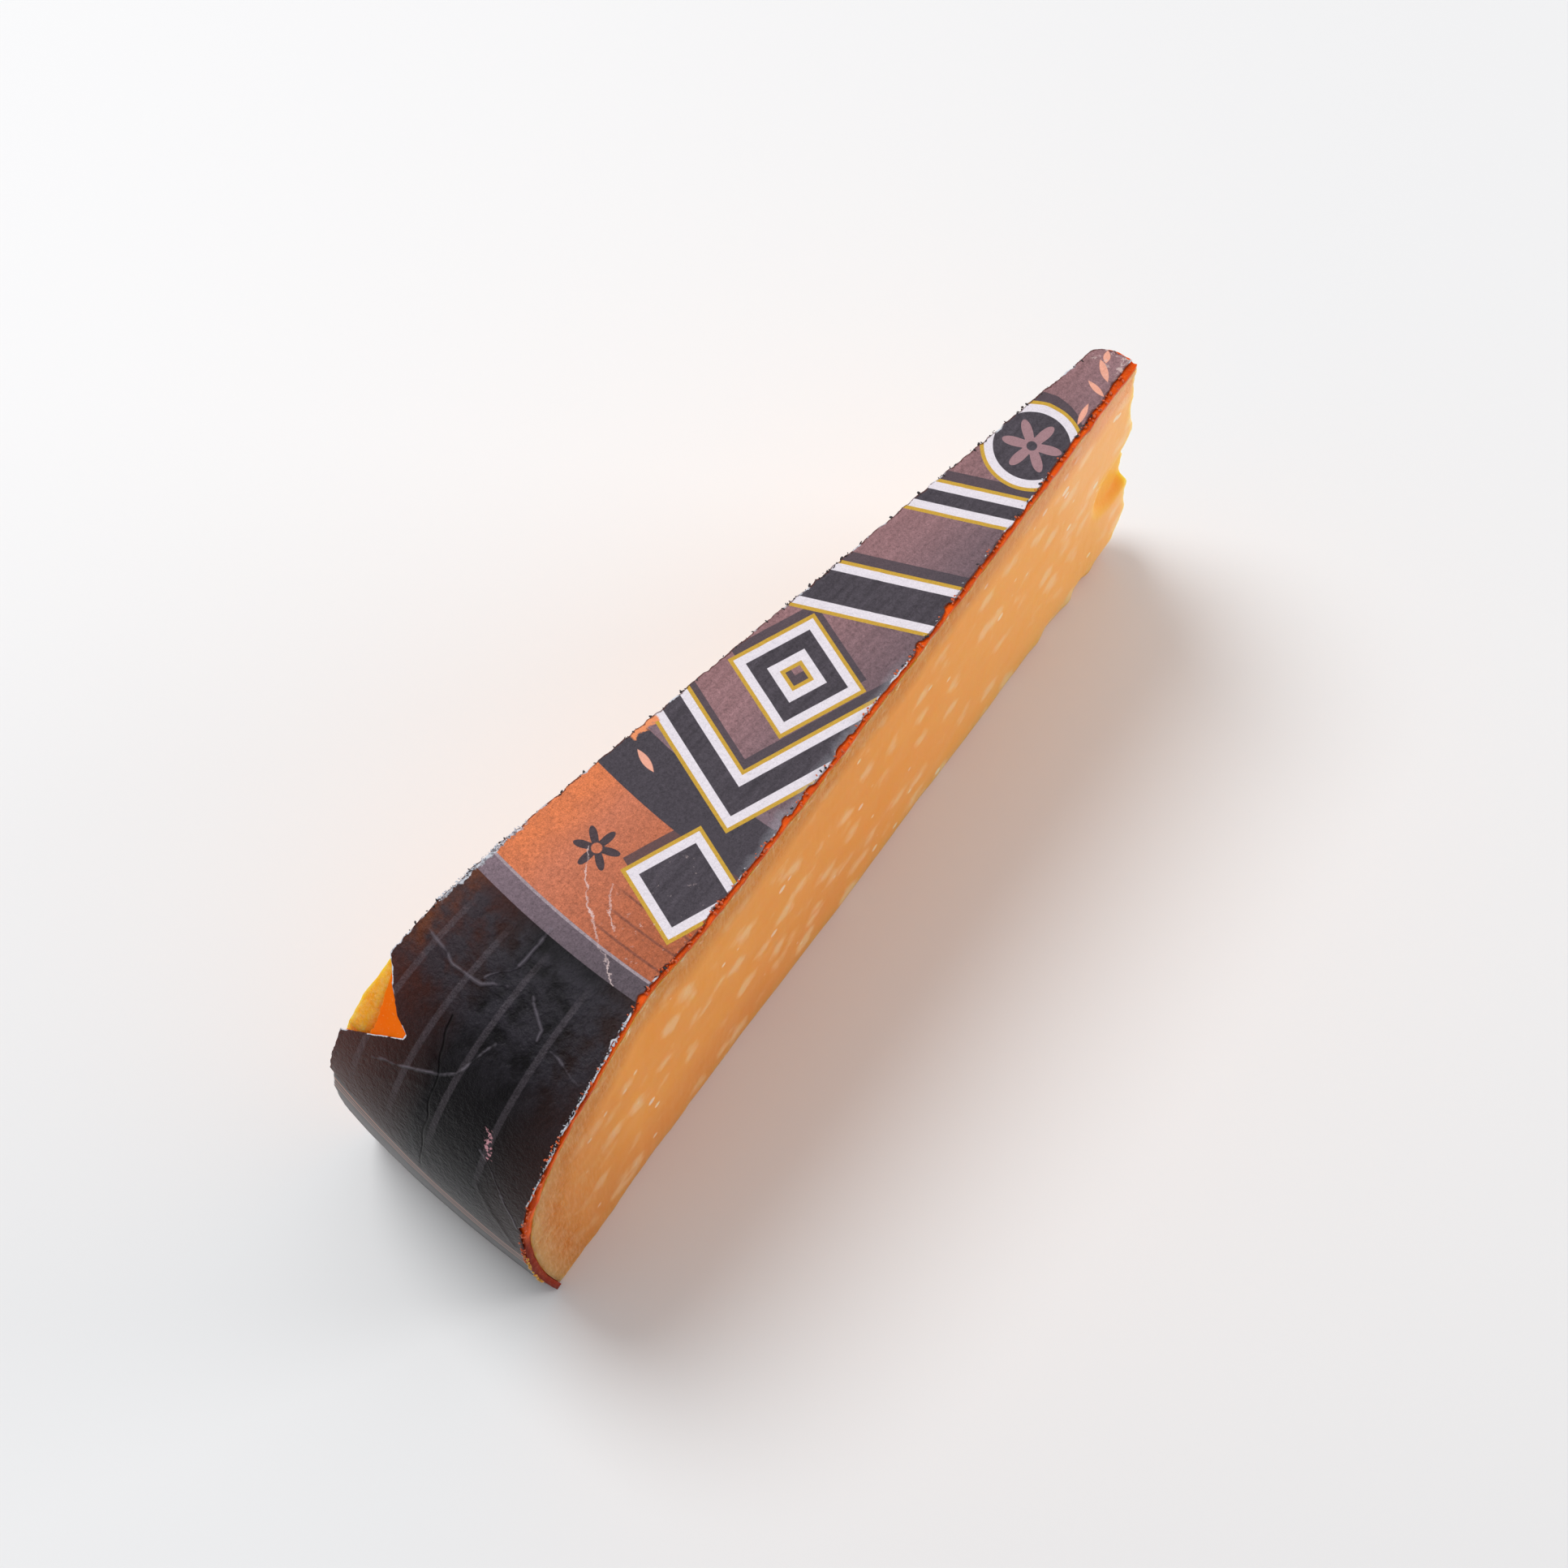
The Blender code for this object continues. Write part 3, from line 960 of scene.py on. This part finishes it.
class LabelPrint:
    """The print of the top label, laid on in layers: each layer's method returns a colour."""

    def __init__(self, net, settings):
        self.net = net
        self.settings = settings
        self.where = net.place_mm()
        self.sheet = Sheet(net)
        self.run = self.sheet.run
        self.side = self.sheet.degrees
        self.fine = net.grain(self.where, 5.0, 3.0, 0.6)
        self.grain = net.grain(self.where, 1.9, 4.0, 0.6)
        self.blotch = net.grain(self.where, 0.9, 5.0, 0.7)
        self.crumpled = net.grain(self.where, 0.34, 3.0, 0.55)
        self.broken = net.grain(self.where, 0.45).above(0.42, 0.22)
        flat = net.join(self.sheet.x, self.sheet.y, 0.0)
        self.streak = net.grain(net.stretched(flat, (0.10, 1.0, 1.0)), 1.1, 3.0, 0.55)
        self.in_band = self.run.above(BAND_START, CRISP) * self.run.below(BAND_END, CRISP)
        self.upper = self.run.above(148.0, 3.0) * self.run.below(166.0, 12.0)
        torn = net.grain(self.where, 1.3, 4.0, 0.65) - 0.42
        self.frayed = self.sheet.margin.below(0.10 + 0.75 * torn, 0.08)
        self.pale, self.dark = self.heel_lines()

    def heel_lines(self):
        """The heel's pale creases and its crack line, drawn on a softly bent sheet; the crack is painted
        dark as shade.
        """
        bend_x = 2.6 * (self.net.grain(self.where, 0.13, 1.0) - 0.5)
        bend_y = 2.6 * (self.net.grain(self.where, 0.16, 1.0) - 0.5)
        bent = Sheet(self.net, bend_x, bend_y)
        width = 0.05 + 0.25 * (self.broken - 0.5)
        lines = [[flat_mark(*point) for point in points] for points in HEEL_CREASES]
        pale = reduce(Value.high, [crack(bent, line, width, 0.40) for line in lines])
        dark = crack(bent, [flat_mark(*point) for point in HEEL_CRACK], 0.10, 0.30)
        return pale, dark

    def ground(self):
        """Mauve near the tip, darker towards the heel, browner along the far edge."""
        net, run, side, mauve = self.net, self.run, self.side, self.settings.mauve
        cloud = net.grain(self.where, 0.09)
        return net.over(
            net.mix(self.streak.above(0.5, 0.7), shaded(mauve, 0.62), shaded(mauve, 1.28)),
            (side.below(-1.5, 9.0) * 0.45, (0.36, 0.165, 0.16)),
            (side.above(1.8, 7.5) * run.above(56.0, 8.0) * 0.75, (0.115, 0.090, 0.110)),
            (cloud.above(0.5, 0.4) * 0.35, shaded(mauve, 0.55)),
            (run.above(DARK_RING, CRISP), self.settings.ink),
            (abs(run - 116.6).below(0.75, CRISP) * 0.8, (0.22, 0.15, 0.18)),
        )

    def orange_ring(self):
        """Redder and clearer on the far side, browner and scuffed on the near side."""
        net, run, side = self.net, self.run, self.side
        rules = net.math("SINE", (run - 127.0) * (math.tau / 2.9)).above(0.93, 0.10)
        smudge = net.grain(self.where, 0.55, 4.0, 0.6).above(0.55, 0.35)
        return net.over(
            self.settings.orange,
            (side.above(0.6, 7.0), (0.45, 0.125, 0.055)),
            (side.below(-3.9, 2.2) * 0.8, (0.80, 0.22, 0.075)),
            (smudge * 0.35, (0.33, 0.11, 0.065)),
            (rules * side.above(0.9, 1.2) * 0.55, (0.12, 0.050, 0.045)),
        )

    def black_heel(self):
        """Black with brown edges, grey stripes and a painted grey sheen on the crumples of the upper heel.
        """
        run, side = self.run, self.side
        stripe = reduce(Value.low, [abs(side - middle) for middle in HEEL_STRIPES])
        stripes = stripe.below(0.16, 0.06) * run.above(151.0, 5.0) * run.below(run_mark(41.0), 9.0)
        return self.net.over(
            self.settings.black,
            (side.below(-3.2, 5.0) * 0.85, (0.085, 0.022, 0.015)),
            (side.below(-5.1, 1.4) * run.below(161.0, 8.0) * 0.8, (0.15, 0.045, 0.018)),
            (side.above(4.4, 3.0) * 0.7, (0.040, 0.016, 0.014)),
            # painted sheen: grey over the crumples of the upper heel
            (self.upper * self.crumpled.above(0.48, 0.25) * 0.8, (0.030, 0.026, 0.034)),
            (stripes * (0.02 + 0.42 * self.fine), (0.15, 0.125, 0.145)),
        )

    def rings(self, base):
        """The orange ring with its flower, the pale and grey rings and the heel."""
        net, run = self.net, self.run
        flower = rosette(net, self.sheet, *BAND_FLOWER, BAND_FLOWER_RADIUS).below(0.0, 0.12)
        grey = net.mix(self.side.below(-1.0, 9.0), (0.115, 0.088, 0.105), (0.22, 0.155, 0.185))
        return net.over(
            base,
            (self.in_band, self.orange_ring()),
            (flower * self.in_band, (0.075, 0.052, 0.060)),
            (run.above(BAND_END, CRISP) * 0.7, (0.50, 0.40, 0.44)),
            (run.above(GREY_RING, CRISP), grey),
            (run.above(HEEL_PRINT, CRISP), self.black_heel()),
        )

    def figures(self, base):
        """Shadow, gold line, pale line and dark fill; then a flower and small peach leaves."""
        net, run, ink = self.net, self.run, self.settings.ink
        skin_grain = (0.4 * self.fine + 0.6 * self.grain).above(0.5, 0.34)
        leathery = net.mix(skin_grain, flat_grey(0.70), flat_grey(1.25))
        fill = net.mix(self.streak.above(0.5, 0.6), shaded(ink, 0.72), shaded(ink, 1.35))
        figure = ornament(self.sheet)
        shadow = ornament(Sheet(net, 1.4, 1.0)).below(0.45, CRISP) * run.below(137.0, 0.1)
        keep = run.below(FIGURES_END, 0.1)
        flower = rosette(net, self.sheet, *ROUNDEL, ROUNDEL_FLOWER).below(0.0, 0.1)
        leaves = reduce(Value.low, [self.sheet.leaf(*leaf) for leaf in LEAVES]).below(0.0, 0.10)
        return net.over(
            net.times(base, leathery),
            (shadow * 0.85, ink),
            (figure.below(0.55, 0.07) * keep, self.settings.gold),
            (figure.below(0.0, 0.07) * keep, self.settings.white),
            (figure.below(-1.25, 0.07) * keep, net.times(fill, leathery)),
            (flower, shaded(self.settings.mauve, 1.1)),
            (leaves, (0.86, 0.40, 0.29)),
        )

    def cracked(self, base):
        """Cracks and scuffs of the orange ring, down to the pale paper."""
        net = self.net
        stray_x = 2.6 * (net.grain(self.where, 0.42, 5.0, 0.7) - 0.5)
        stray_y = 2.6 * (net.grain(self.where, 0.47, 5.0, 0.7) - 0.5)
        ragged = Sheet(net, stray_x, stray_y)
        cracks = crack(ragged, BAND_CRACK, 0.09, 0.16).high(crack(ragged, SHORT_CRACK, 0.08, 0.16))
        scuffs = self.blotch.above(0.66, 0.06) * self.in_band * self.side.above(1.6, 3.0)
        worn = (cracks * (0.25 + 0.75 * self.broken)).high(scuffs * 0.55)
        dusting = net.mix(self.fine.above(0.5, 0.5), flat_grey(0.88), flat_grey(1.10))
        return net.over(net.times(base, dusting), (worn * 0.8, (0.80, 0.62, 0.60)))

    def frayed_edges(self, base):
        """Bare coat, peeled and frayed paper along the cuts, the rubbed near cut, the worn tip."""
        net, run, margin, where = self.net, self.run, self.sheet.margin, self.where
        by_far_cut = self.side.below(-2.0, 0.5)
        bare = by_far_cut * abs(run - 117.6).below(2.3, 0.3)
        bare = bare * (margin + 1.6 * (self.grain - 0.5)).below(0.9, 0.25)
        peel = by_far_cut * run.above(139.0, 1.5) * run.below(153.0, 2.0)
        peel = peel * (margin - 2.8 * (net.grain(where, 0.75, 4.0, 0.65) - 0.33)).below(0.0, 0.10)
        peeled = net.mix(self.grain.above(0.5, 0.2), (0.20, 0.19, 0.21), (0.68, 0.70, 0.76))
        tatty = net.grain(where, 0.30).above(0.60 - 0.12 * run.above(149.0, 4.0), 0.06)
        tatty = tatty * run.below(run_mark(38.0), 3.0)
        rub = self.side.above(1.0, 1.0) * run.above(88.0, 8.0) * run.below(124.0, 4.0)
        rub = rub * (margin - 3.2 * (net.grain(where, 0.22, 4.0, 0.6) - 0.38)).below(0.3, 1.2)
        worn_tip = run.below(33.2, 2.4) * self.blotch.above(0.58, 0.06)
        return net.over(
            base,
            (bare, (0.86, 0.30, 0.13)),
            (peel * 0.9, peeled),
            (self.frayed * 0.8, (0.10, 0.035, 0.03)),
            (self.frayed * tatty, (0.66, 0.68, 0.74)),
            (rub * (0.10 + 0.45 * self.fine), (0.42, 0.42, 0.47)),
            (worn_tip * 0.7, (0.72, 0.55, 0.52)),
        )

    def creased(self, base):
        """The heel's creases, painted shade along its crack and a pink scuff."""
        run = self.run
        scuff = abs(self.side - 3.0 - 0.12 * (run - run_mark(47.0))).below(0.22, 0.1)
        scuff = scuff * abs(run - run_mark(47.2)).below(2.4, 0.4) * self.grain.above(0.56, 0.05)
        return self.net.over(
            base,
            (self.pale * (0.05 + 0.40 * self.broken), (0.25, 0.22, 0.26)),
            # painted shade: near-black along the heel's crack, where the fold lies in shade
            (self.dark * 0.8, flat_grey(0.002)),
            (scuff, (0.62, 0.30, 0.34)),
        )

    def relief(self):
        deep = self.pale - self.dark * 1.6 + self.crumpled * (0.7 + 0.9 * self.upper)
        return self.grain + 0.35 * self.fine + 0.8 * self.net.grain(self.where, 0.9) + deep * 1.1


def label_material(settings):
    material, net, shader = new_material("printed_top_paper")
    label = LabelPrint(net, settings)
    colours = label.ground()
    for layer_on in (label.rings, label.figures, label.cracked, label.frayed_edges, label.creased):
        colours = layer_on(colours)
    gloss = label.run.above(147.0, 6.0)
    roughness = 0.50 - 0.19 * gloss + 0.12 * (label.grain - 0.5) + 0.25 * label.frayed
    feed(net, shader, Base_Color=colours, Roughness=roughness, Specular_IOR_Level=0.13,
         Normal=bumped(net, label.relief(), 0.24, 0.9))
    return material


def rosette(net, sheet, x, y, radius):
    """Distance outside a six-petalled flower with an open heart, negative inside."""
    u = sheet.x - x
    v = sheet.y - y
    away = net.hypot(u, v)
    turn = net.math("ARCTAN2", v, u)
    petals = away - radius * (0.66 + 0.34 * net.math("COSINE", turn * 6.0 + 0.6))
    return petals.high(0.75 - away)


def side_material(settings):
    material, net, shader = new_material("printed_side_paper")
    where = net.place_mm()
    sheet = Sheet(net)
    fine = net.grain(where, 5.0, 3.0, 0.6)
    grain = net.grain(where, 1.9, 4.0, 0.6)
    fall = sheet.degrees * (SEAM_TILT * GIRTH_RADIUS * math.radians(1.0))
    span = sheet.run - run_mark(SEAM_HEIGHT) - fall
    waver = span + 0.5 * (net.grain(where, 0.12, 1.0) - 0.5)
    lines = abs(waver - 2.2).below(0.28, 0.1).high(abs(waver - 3.6).below(0.16, 0.1))
    lines = lines.high(abs(waver - 5.2).below(0.5, 0.1) * 0.6)
    frayed = sheet.margin.below(0.10 + 0.8 * (net.grain(where, 1.3, 4.0, 0.65) - 0.42), 0.08)
    base = net.over(
        (0.028, 0.028, 0.030),
        (sheet.degrees.below(-3.0, 4.0), (0.055, 0.038, 0.036)),
        (lines * 0.8, (0.55, 0.25, 0.17)),
        (abs(waver - 11.0).below(3.0, 0.2) * 0.5, (0.085, 0.080, 0.085)),
        # painted shadow: a near-black line just under the seam, where the top paper's edge casts its shadow
        (span.below(0.9, 0.2), (0.006, 0.005, 0.006)),
    )
    base = net.times(base, net.mix(fine, flat_grey(0.7), flat_grey(1.25)))
    base = net.mix(frayed * 0.75, base, (0.62, 0.60, 0.60))
    feed(net, shader, Base_Color=base, Roughness=0.42 + 0.12 * (grain - 0.5),
         Normal=bumped(net, 0.5 * grain + 0.4 * fine, 0.09, 0.5), Specular_IOR_Level=0.34)
    return material


# ---------------------------------------------------------------- scattered bits

def scatter_tree(name, material):
    """Geometry nodes: one copy of a grain on each point, turned and sized at random."""
    tree = bpy.data.node_groups.new(name, "GeometryNodeTree")
    face = tree.interface
    inputs = {
        "Geometry": "Geometry", "Grain": "Object", "Smallest": "Float", "Largest": "Float", "Seed": "Int",
    }
    for key, kind in inputs.items():
        face.new_socket(key, in_out="INPUT", socket_type="NodeSocket" + kind)
    face.new_socket("Geometry", in_out="OUTPUT", socket_type="NodeSocketGeometry")
    net = Net(tree)
    given = tree.nodes.new("NodeGroupInput")
    socket = {key: Value(net, given.outputs[key]) for key in inputs}
    points = net.node("GeometryNodeMeshToPoints", None, {"Mesh": socket["Geometry"]})
    grain = net.node("GeometryNodeObjectInfo", None, {"Object": socket["Grain"]}, "Geometry")
    turn = net.node("FunctionNodeRandomValue", {"data_type": "FLOAT_VECTOR"},
                    {"Min": (0.0, 0.0, 0.0), "Max": (math.tau, math.tau, math.tau), "Seed": socket["Seed"]})
    size = net.node("FunctionNodeRandomValue", {"data_type": "FLOAT"},
                    {2: socket["Smallest"], 3: socket["Largest"], "Seed": socket["Seed"]}, out=1)
    copies = net.node("GeometryNodeInstanceOnPoints", None, {
        "Points": points, "Instance": grain, "Rotation": turn, "Scale": size})
    real = net.node("GeometryNodeRealizeInstances", None, {"Geometry": copies})
    dressed = net.node("GeometryNodeSetMaterial", None, {"Geometry": real, "Material": material})
    out = tree.nodes.new("NodeGroupOutput")
    tree.links.new(dressed.socket, out.inputs[0])
    return tree


def scatter(name, points, grain, sizes, seed, material):
    """Put grains on the points (in metres) and keep the result as a plain mesh."""
    base = mesh_object(name + "_points", points.tolist(), [])
    tree = scatter_tree(name + "_nodes", material)
    modifier = base.modifiers.new("Scatter", "NODES")
    modifier.node_group = tree
    sockets = {item.name: item.identifier for item in tree.interface.items_tree if item.in_out == "INPUT"}
    modifier[sockets["Grain"]] = grain
    modifier[sockets["Smallest"]] = sizes[0]
    modifier[sockets["Largest"]] = sizes[1]
    modifier[sockets["Seed"]] = seed
    bpy.context.view_layer.update()
    evaluated = base.evaluated_get(bpy.context.evaluated_depsgraph_get())
    mesh = bpy.data.meshes.new_from_object(evaluated)
    mesh.name = name
    bpy.data.objects.remove(base)
    bpy.data.node_groups.remove(tree)
    obj = bpy.data.objects.new(name, mesh)
    bpy.context.scene.collection.objects.link(obj)
    return obj


def grain_object(name, stretch, seed):
    """A small irregular lump about one millimetre across, flattened or drawn out by stretch."""
    bm = bmesh.new()
    bmesh.ops.create_icosphere(bm, subdivisions=1, radius=0.5 * MM)
    for vert in bm.verts:
        x, y, z = (c / MM * 3.0 for c in vert.co)
        push = 1.0 + 0.25 * float(noise(np.float64(x), np.float64(y), np.float64(z), seed))
        vert.co = Vector(c * s * push for c, s in zip(vert.co, stretch))
    mesh = bpy.data.meshes.new(name)
    bm.to_mesh(mesh)
    bm.free()
    mesh.shade_smooth()
    obj = bpy.data.objects.new(name, mesh)
    bpy.context.scene.collection.objects.link(obj)
    return obj


def scattered_piece(name, slot, material, points, sizes, seed, stretch, lump):
    """One finished piece of scattered grains: lump is the seed of the grain's shape."""
    grain = grain_object(name + "_grain", stretch, lump)
    obj = scatter(name, points, grain, sizes, seed, material)
    finish_piece(obj, material, slot)
    bpy.data.objects.remove(grain)


def edge_points(rng, cut, runs, back, inset, loose):
    """Points on the skin beside the near (1) or far (-1) cut, set back by back to back + loose."""
    radius, height = skin(runs, inset)
    wander = near_wander if cut > 0.0 else far_wander
    stray = wander(radius, height) - back - loose * rng.random(len(runs))
    return place(radius, cut * (HALF_ANGLE + stray / radius), height)


def plain_material(name, base, roughness, subsurface=0.0):
    material, net, shader = new_material(name)
    where = net.place_mm()
    tone = net.grain(where, 2.2, 3.0)
    shades = net.mix(tone, shaded(base, 0.6), shaded(base, 1.35))
    feed(net, shader, Base_Color=shades, Roughness=roughness,
         Normal=bumped(net, net.grain(where, 5.0, 3.0), 0.06, 0.6),
         Subsurface_Weight=subsurface, Subsurface_Radius=(1.0, 0.4, 0.2), Subsurface_Scale=0.001)
    return material


# ---------------------------------------------------------------- stage

def build_floor(settings):
    bpy.ops.mesh.primitive_plane_add(size=FLOOR_SIZE)
    floor = bpy.context.object
    floor.name = "table_top"
    material, net, shader = new_material("pale_table")
    feed(net, shader, Base_Color=(*settings.floor, 1.0), Roughness=0.55, Specular_IOR_Level=0.3)
    floor.data.materials.append(material)


def area_light(name, position, size, power, tint):
    """A round soft light that faces the middle of the frame."""
    data = bpy.data.lights.new(name, "AREA")
    data.shape = "DISK"
    data.size = size
    data.energy = power
    data.color = tint
    light = bpy.data.objects.new(name, data)
    light.location = position
    light.rotation_euler = (-Vector(position)).to_track_quat("-Z", "Y").to_euler()
    bpy.context.scene.collection.objects.link(light)


def build_world():
    """A pale room, brighter where the windows are and darker low behind the camera."""
    world = bpy.data.worlds.new("soft_room")
    bpy.context.scene.world = world
    world.use_nodes = True
    net = Net(world.node_tree)
    made = world.node_tree.nodes.new("ShaderNodeTexCoord")
    towards = Value(net, made.outputs["Generated"])
    facing = net.node("ShaderNodeVectorMath", {"operation": "DOT_PRODUCT"},
                      {0: towards, 1: ROOM_BRIGHT_SIDE}, "Value")
    light = net.mix(facing.above(0.25, 1.3), (0.12, 0.12, 0.125), (0.60, 0.61, 0.62))
    feed(net, world.node_tree.nodes["Background"], Color=light, Strength=1.0)


def build_camera(settings):
    data = bpy.data.cameras.new("view")
    data.lens = settings.lens
    data.sensor_width = SENSOR_WIDTH
    camera = bpy.data.objects.new("view", data)
    flat = math.cos(settings.elevation) * settings.distance
    camera.location = CAMERA_TARGET + Vector((
        math.sin(settings.azimuth) * flat,
        -math.cos(settings.azimuth) * flat,
        math.sin(settings.elevation) * settings.distance))
    camera.rotation_euler = (CAMERA_TARGET - camera.location).to_track_quat("-Z", "Y").to_euler()
    bpy.context.scene.collection.objects.link(camera)
    bpy.context.scene.camera = camera


# ---------------------------------------------------------------- operators

class CHEESE_OT_paste(bpy.types.Operator):
    """Make the cut paste with its broken tip"""

    bl_idname = "cheese.paste"
    bl_label = "Paste"

    def execute(self, context):
        obj = build_paste("cut_paste")
        finish_piece(obj, paste_material(context.scene.wedge_paste), "paste", "cheese_paste")
        return {"FINISHED"}


class CHEESE_OT_coat(bpy.types.Operator):
    """Make the orange coat over the top and the rim"""

    bl_idname = "cheese.coat"
    bl_label = "Coat"

    def execute(self, context):
        settings = context.scene.wedge_coat
        finish_piece(build_coat("orange_coat", settings), coat_material(settings), "coat", "wax_coat")
        return {"FINISHED"}


class CHEESE_OT_top_label(bpy.types.Operator):
    """Make the printed paper on the top and the heel, torn at its far corner"""

    bl_idname = "cheese.top_label"
    bl_label = "Top label"

    def execute(self, context):
        settings = context.scene.wedge_paper
        paper = build_top_label("top_paper", settings)
        finish_piece(paper, label_material(settings), "label_print", "top_label")
        return {"FINISHED"}


class CHEESE_OT_side_label(bpy.types.Operator):
    """Make the second paper on the lower heel"""

    bl_idname = "cheese.side_label"
    bl_label = "Side label"

    def execute(self, context):
        settings = context.scene.wedge_paper
        paper = build_side_label("side_paper", settings)
        finish_piece(paper, side_material(settings), "side_print", "side_label")
        return {"FINISHED"}


class CHEESE_OT_crumbs(bpy.types.Operator):
    """Scatter crumbs of the coat along the near cut"""

    bl_idname = "cheese.crumbs"
    bl_label = "Crumbs"

    def execute(self, context):
        rng = np.random.default_rng(7)
        runs = TIP_RUN + 3.0 + (FLOOR_RUN - TIP_RUN - 24.0) * rng.random(context.scene.wedge_coat.crumbs)
        coat = plain_material("coat_crumb", (0.62, 0.10, 0.02), 0.35, 0.2)
        scattered_piece("coat_crumbs", "coat", coat, edge_points(rng, NEAR, runs, 0.05, 0.14, 0.9),
                        sizes=(0.5, 1.5), seed=5, stretch=(0.5, 0.36, 0.26), lump=3)
        return {"FINISHED"}


class CHEESE_OT_fibres(bpy.types.Operator):
    """Scatter torn paper and ink along the label's edges, and paste crumbs down the near heel"""

    bl_idname = "cheese.fibres"
    bl_label = "Paper bits"

    def execute(self, context):
        rng = np.random.default_rng(19)
        count = context.scene.wedge_paper.bits
        near_runs = 150.0 + 26.0 * rng.random(count) ** 1.3
        far_runs = 138.0 + 16.0 * rng.random(count)
        points = np.concatenate([
            edge_points(rng, NEAR, near_runs, 0.30, 0.08, 0.35),
            edge_points(rng, FAR, far_runs, -0.05, 0.05, 0.5),
            edge_points(rng, NEAR, 40.0 + 100.0 * rng.random(count // 5), 0.6, 0.05, 0.4),
        ])
        paper = plain_material("torn_paper", (0.60, 0.62, 0.68), 0.7)
        scattered_piece("paper_bits", "label_print", paper, points,
                        sizes=(0.35, 1.05), seed=9, stretch=(0.62, 0.34, 0.10), lump=8)

        runs = TIP_RUN + 4.0 + 128.0 * rng.random(count)
        points = np.concatenate([
            edge_points(rng, FAR, runs, -0.08, 0.12, 0.45),
            edge_points(rng, NEAR, TIP_RUN + 8.0 + 140.0 * rng.random(count // 2), 0.35, 0.10, 0.5),
        ])
        ink = plain_material("ink_bit", (0.020, 0.015, 0.018), 0.5)
        scattered_piece("ink_bits", "label_print", ink, points,
                        sizes=(0.4, 1.3), seed=13, stretch=(0.6, 0.4, 0.18), lump=15)

        runs = run_mark(27.0) + (run_mark(9.0) - run_mark(27.0)) * rng.random(count // 3)
        paste = plain_material("paste_crumb", (0.90, 0.36, 0.04), 0.45, 0.3)
        scattered_piece("paste_crumbs", "paste", paste, edge_points(rng, NEAR, runs, -0.05, 0.15, 0.8),
                        sizes=(0.4, 1.2), seed=11, stretch=(0.6, 0.34, 0.26), lump=12)
        return {"FINISHED"}


class CHEESE_OT_stage(bpy.types.Operator):
    """Set up the floor, the lights and the camera"""

    bl_idname = "cheese.stage"
    bl_label = "Stage"

    def execute(self, context):
        settings = context.scene.wedge_stage
        context.scene.view_settings.view_transform = "Standard"
        build_floor(settings)
        build_world()
        area_light("window", WINDOW_PLACE, size=0.45, power=4.32, tint=(0.985, 0.995, 1.0))
        area_light("fill", FILL_PLACE, size=0.36, power=2.5, tint=(1.0, 0.985, 0.97))
        build_camera(settings)
        return {"FINISHED"}


class CHEESE_PT_wedge(bpy.types.Panel):
    """Lists the steps that dress the wedge."""

    bl_idname = "CHEESE_PT_wedge"
    bl_label = "Cheese wedge"
    bl_space_type = "VIEW_3D"
    bl_region_type = "UI"
    bl_category = "Cheese"

    def draw(self, context):
        for step in STEPS:
            self.layout.operator(step)


STEPS = (
    "cheese.stage",
    "cheese.paste",
    "cheese.coat",
    "cheese.top_label",
    "cheese.side_label",
    "cheese.crumbs",
    "cheese.fibres",
)

CLASSES = (
    PasteSettings,
    CoatSettings,
    PaperSettings,
    StageSettings,
    CHEESE_OT_paste,
    CHEESE_OT_coat,
    CHEESE_OT_top_label,
    CHEESE_OT_side_label,
    CHEESE_OT_crumbs,
    CHEESE_OT_fibres,
    CHEESE_OT_stage,
    CHEESE_PT_wedge,
)

SETTINGS = {
    "wedge_paste": PasteSettings,
    "wedge_coat": CoatSettings,
    "wedge_paper": PaperSettings,
    "wedge_stage": StageSettings,
}


def register():
    for cls in CLASSES:
        bpy.utils.register_class(cls)
    for name, group in SETTINGS.items():
        setattr(bpy.types.Scene, name, bpy.props.PointerProperty(type=group))


def unregister():
    for name in SETTINGS:
        delattr(bpy.types.Scene, name)
    for cls in reversed(CLASSES):
        bpy.utils.unregister_class(cls)


def main():
    register()
    bpy.ops.cheese.stage()
    bpy.ops.cheese.paste()
    bpy.ops.cheese.coat()
    bpy.ops.cheese.top_label()
    bpy.ops.cheese.side_label()
    bpy.ops.cheese.crumbs()
    bpy.ops.cheese.fibres()


if __name__ == "__main__":
    main()
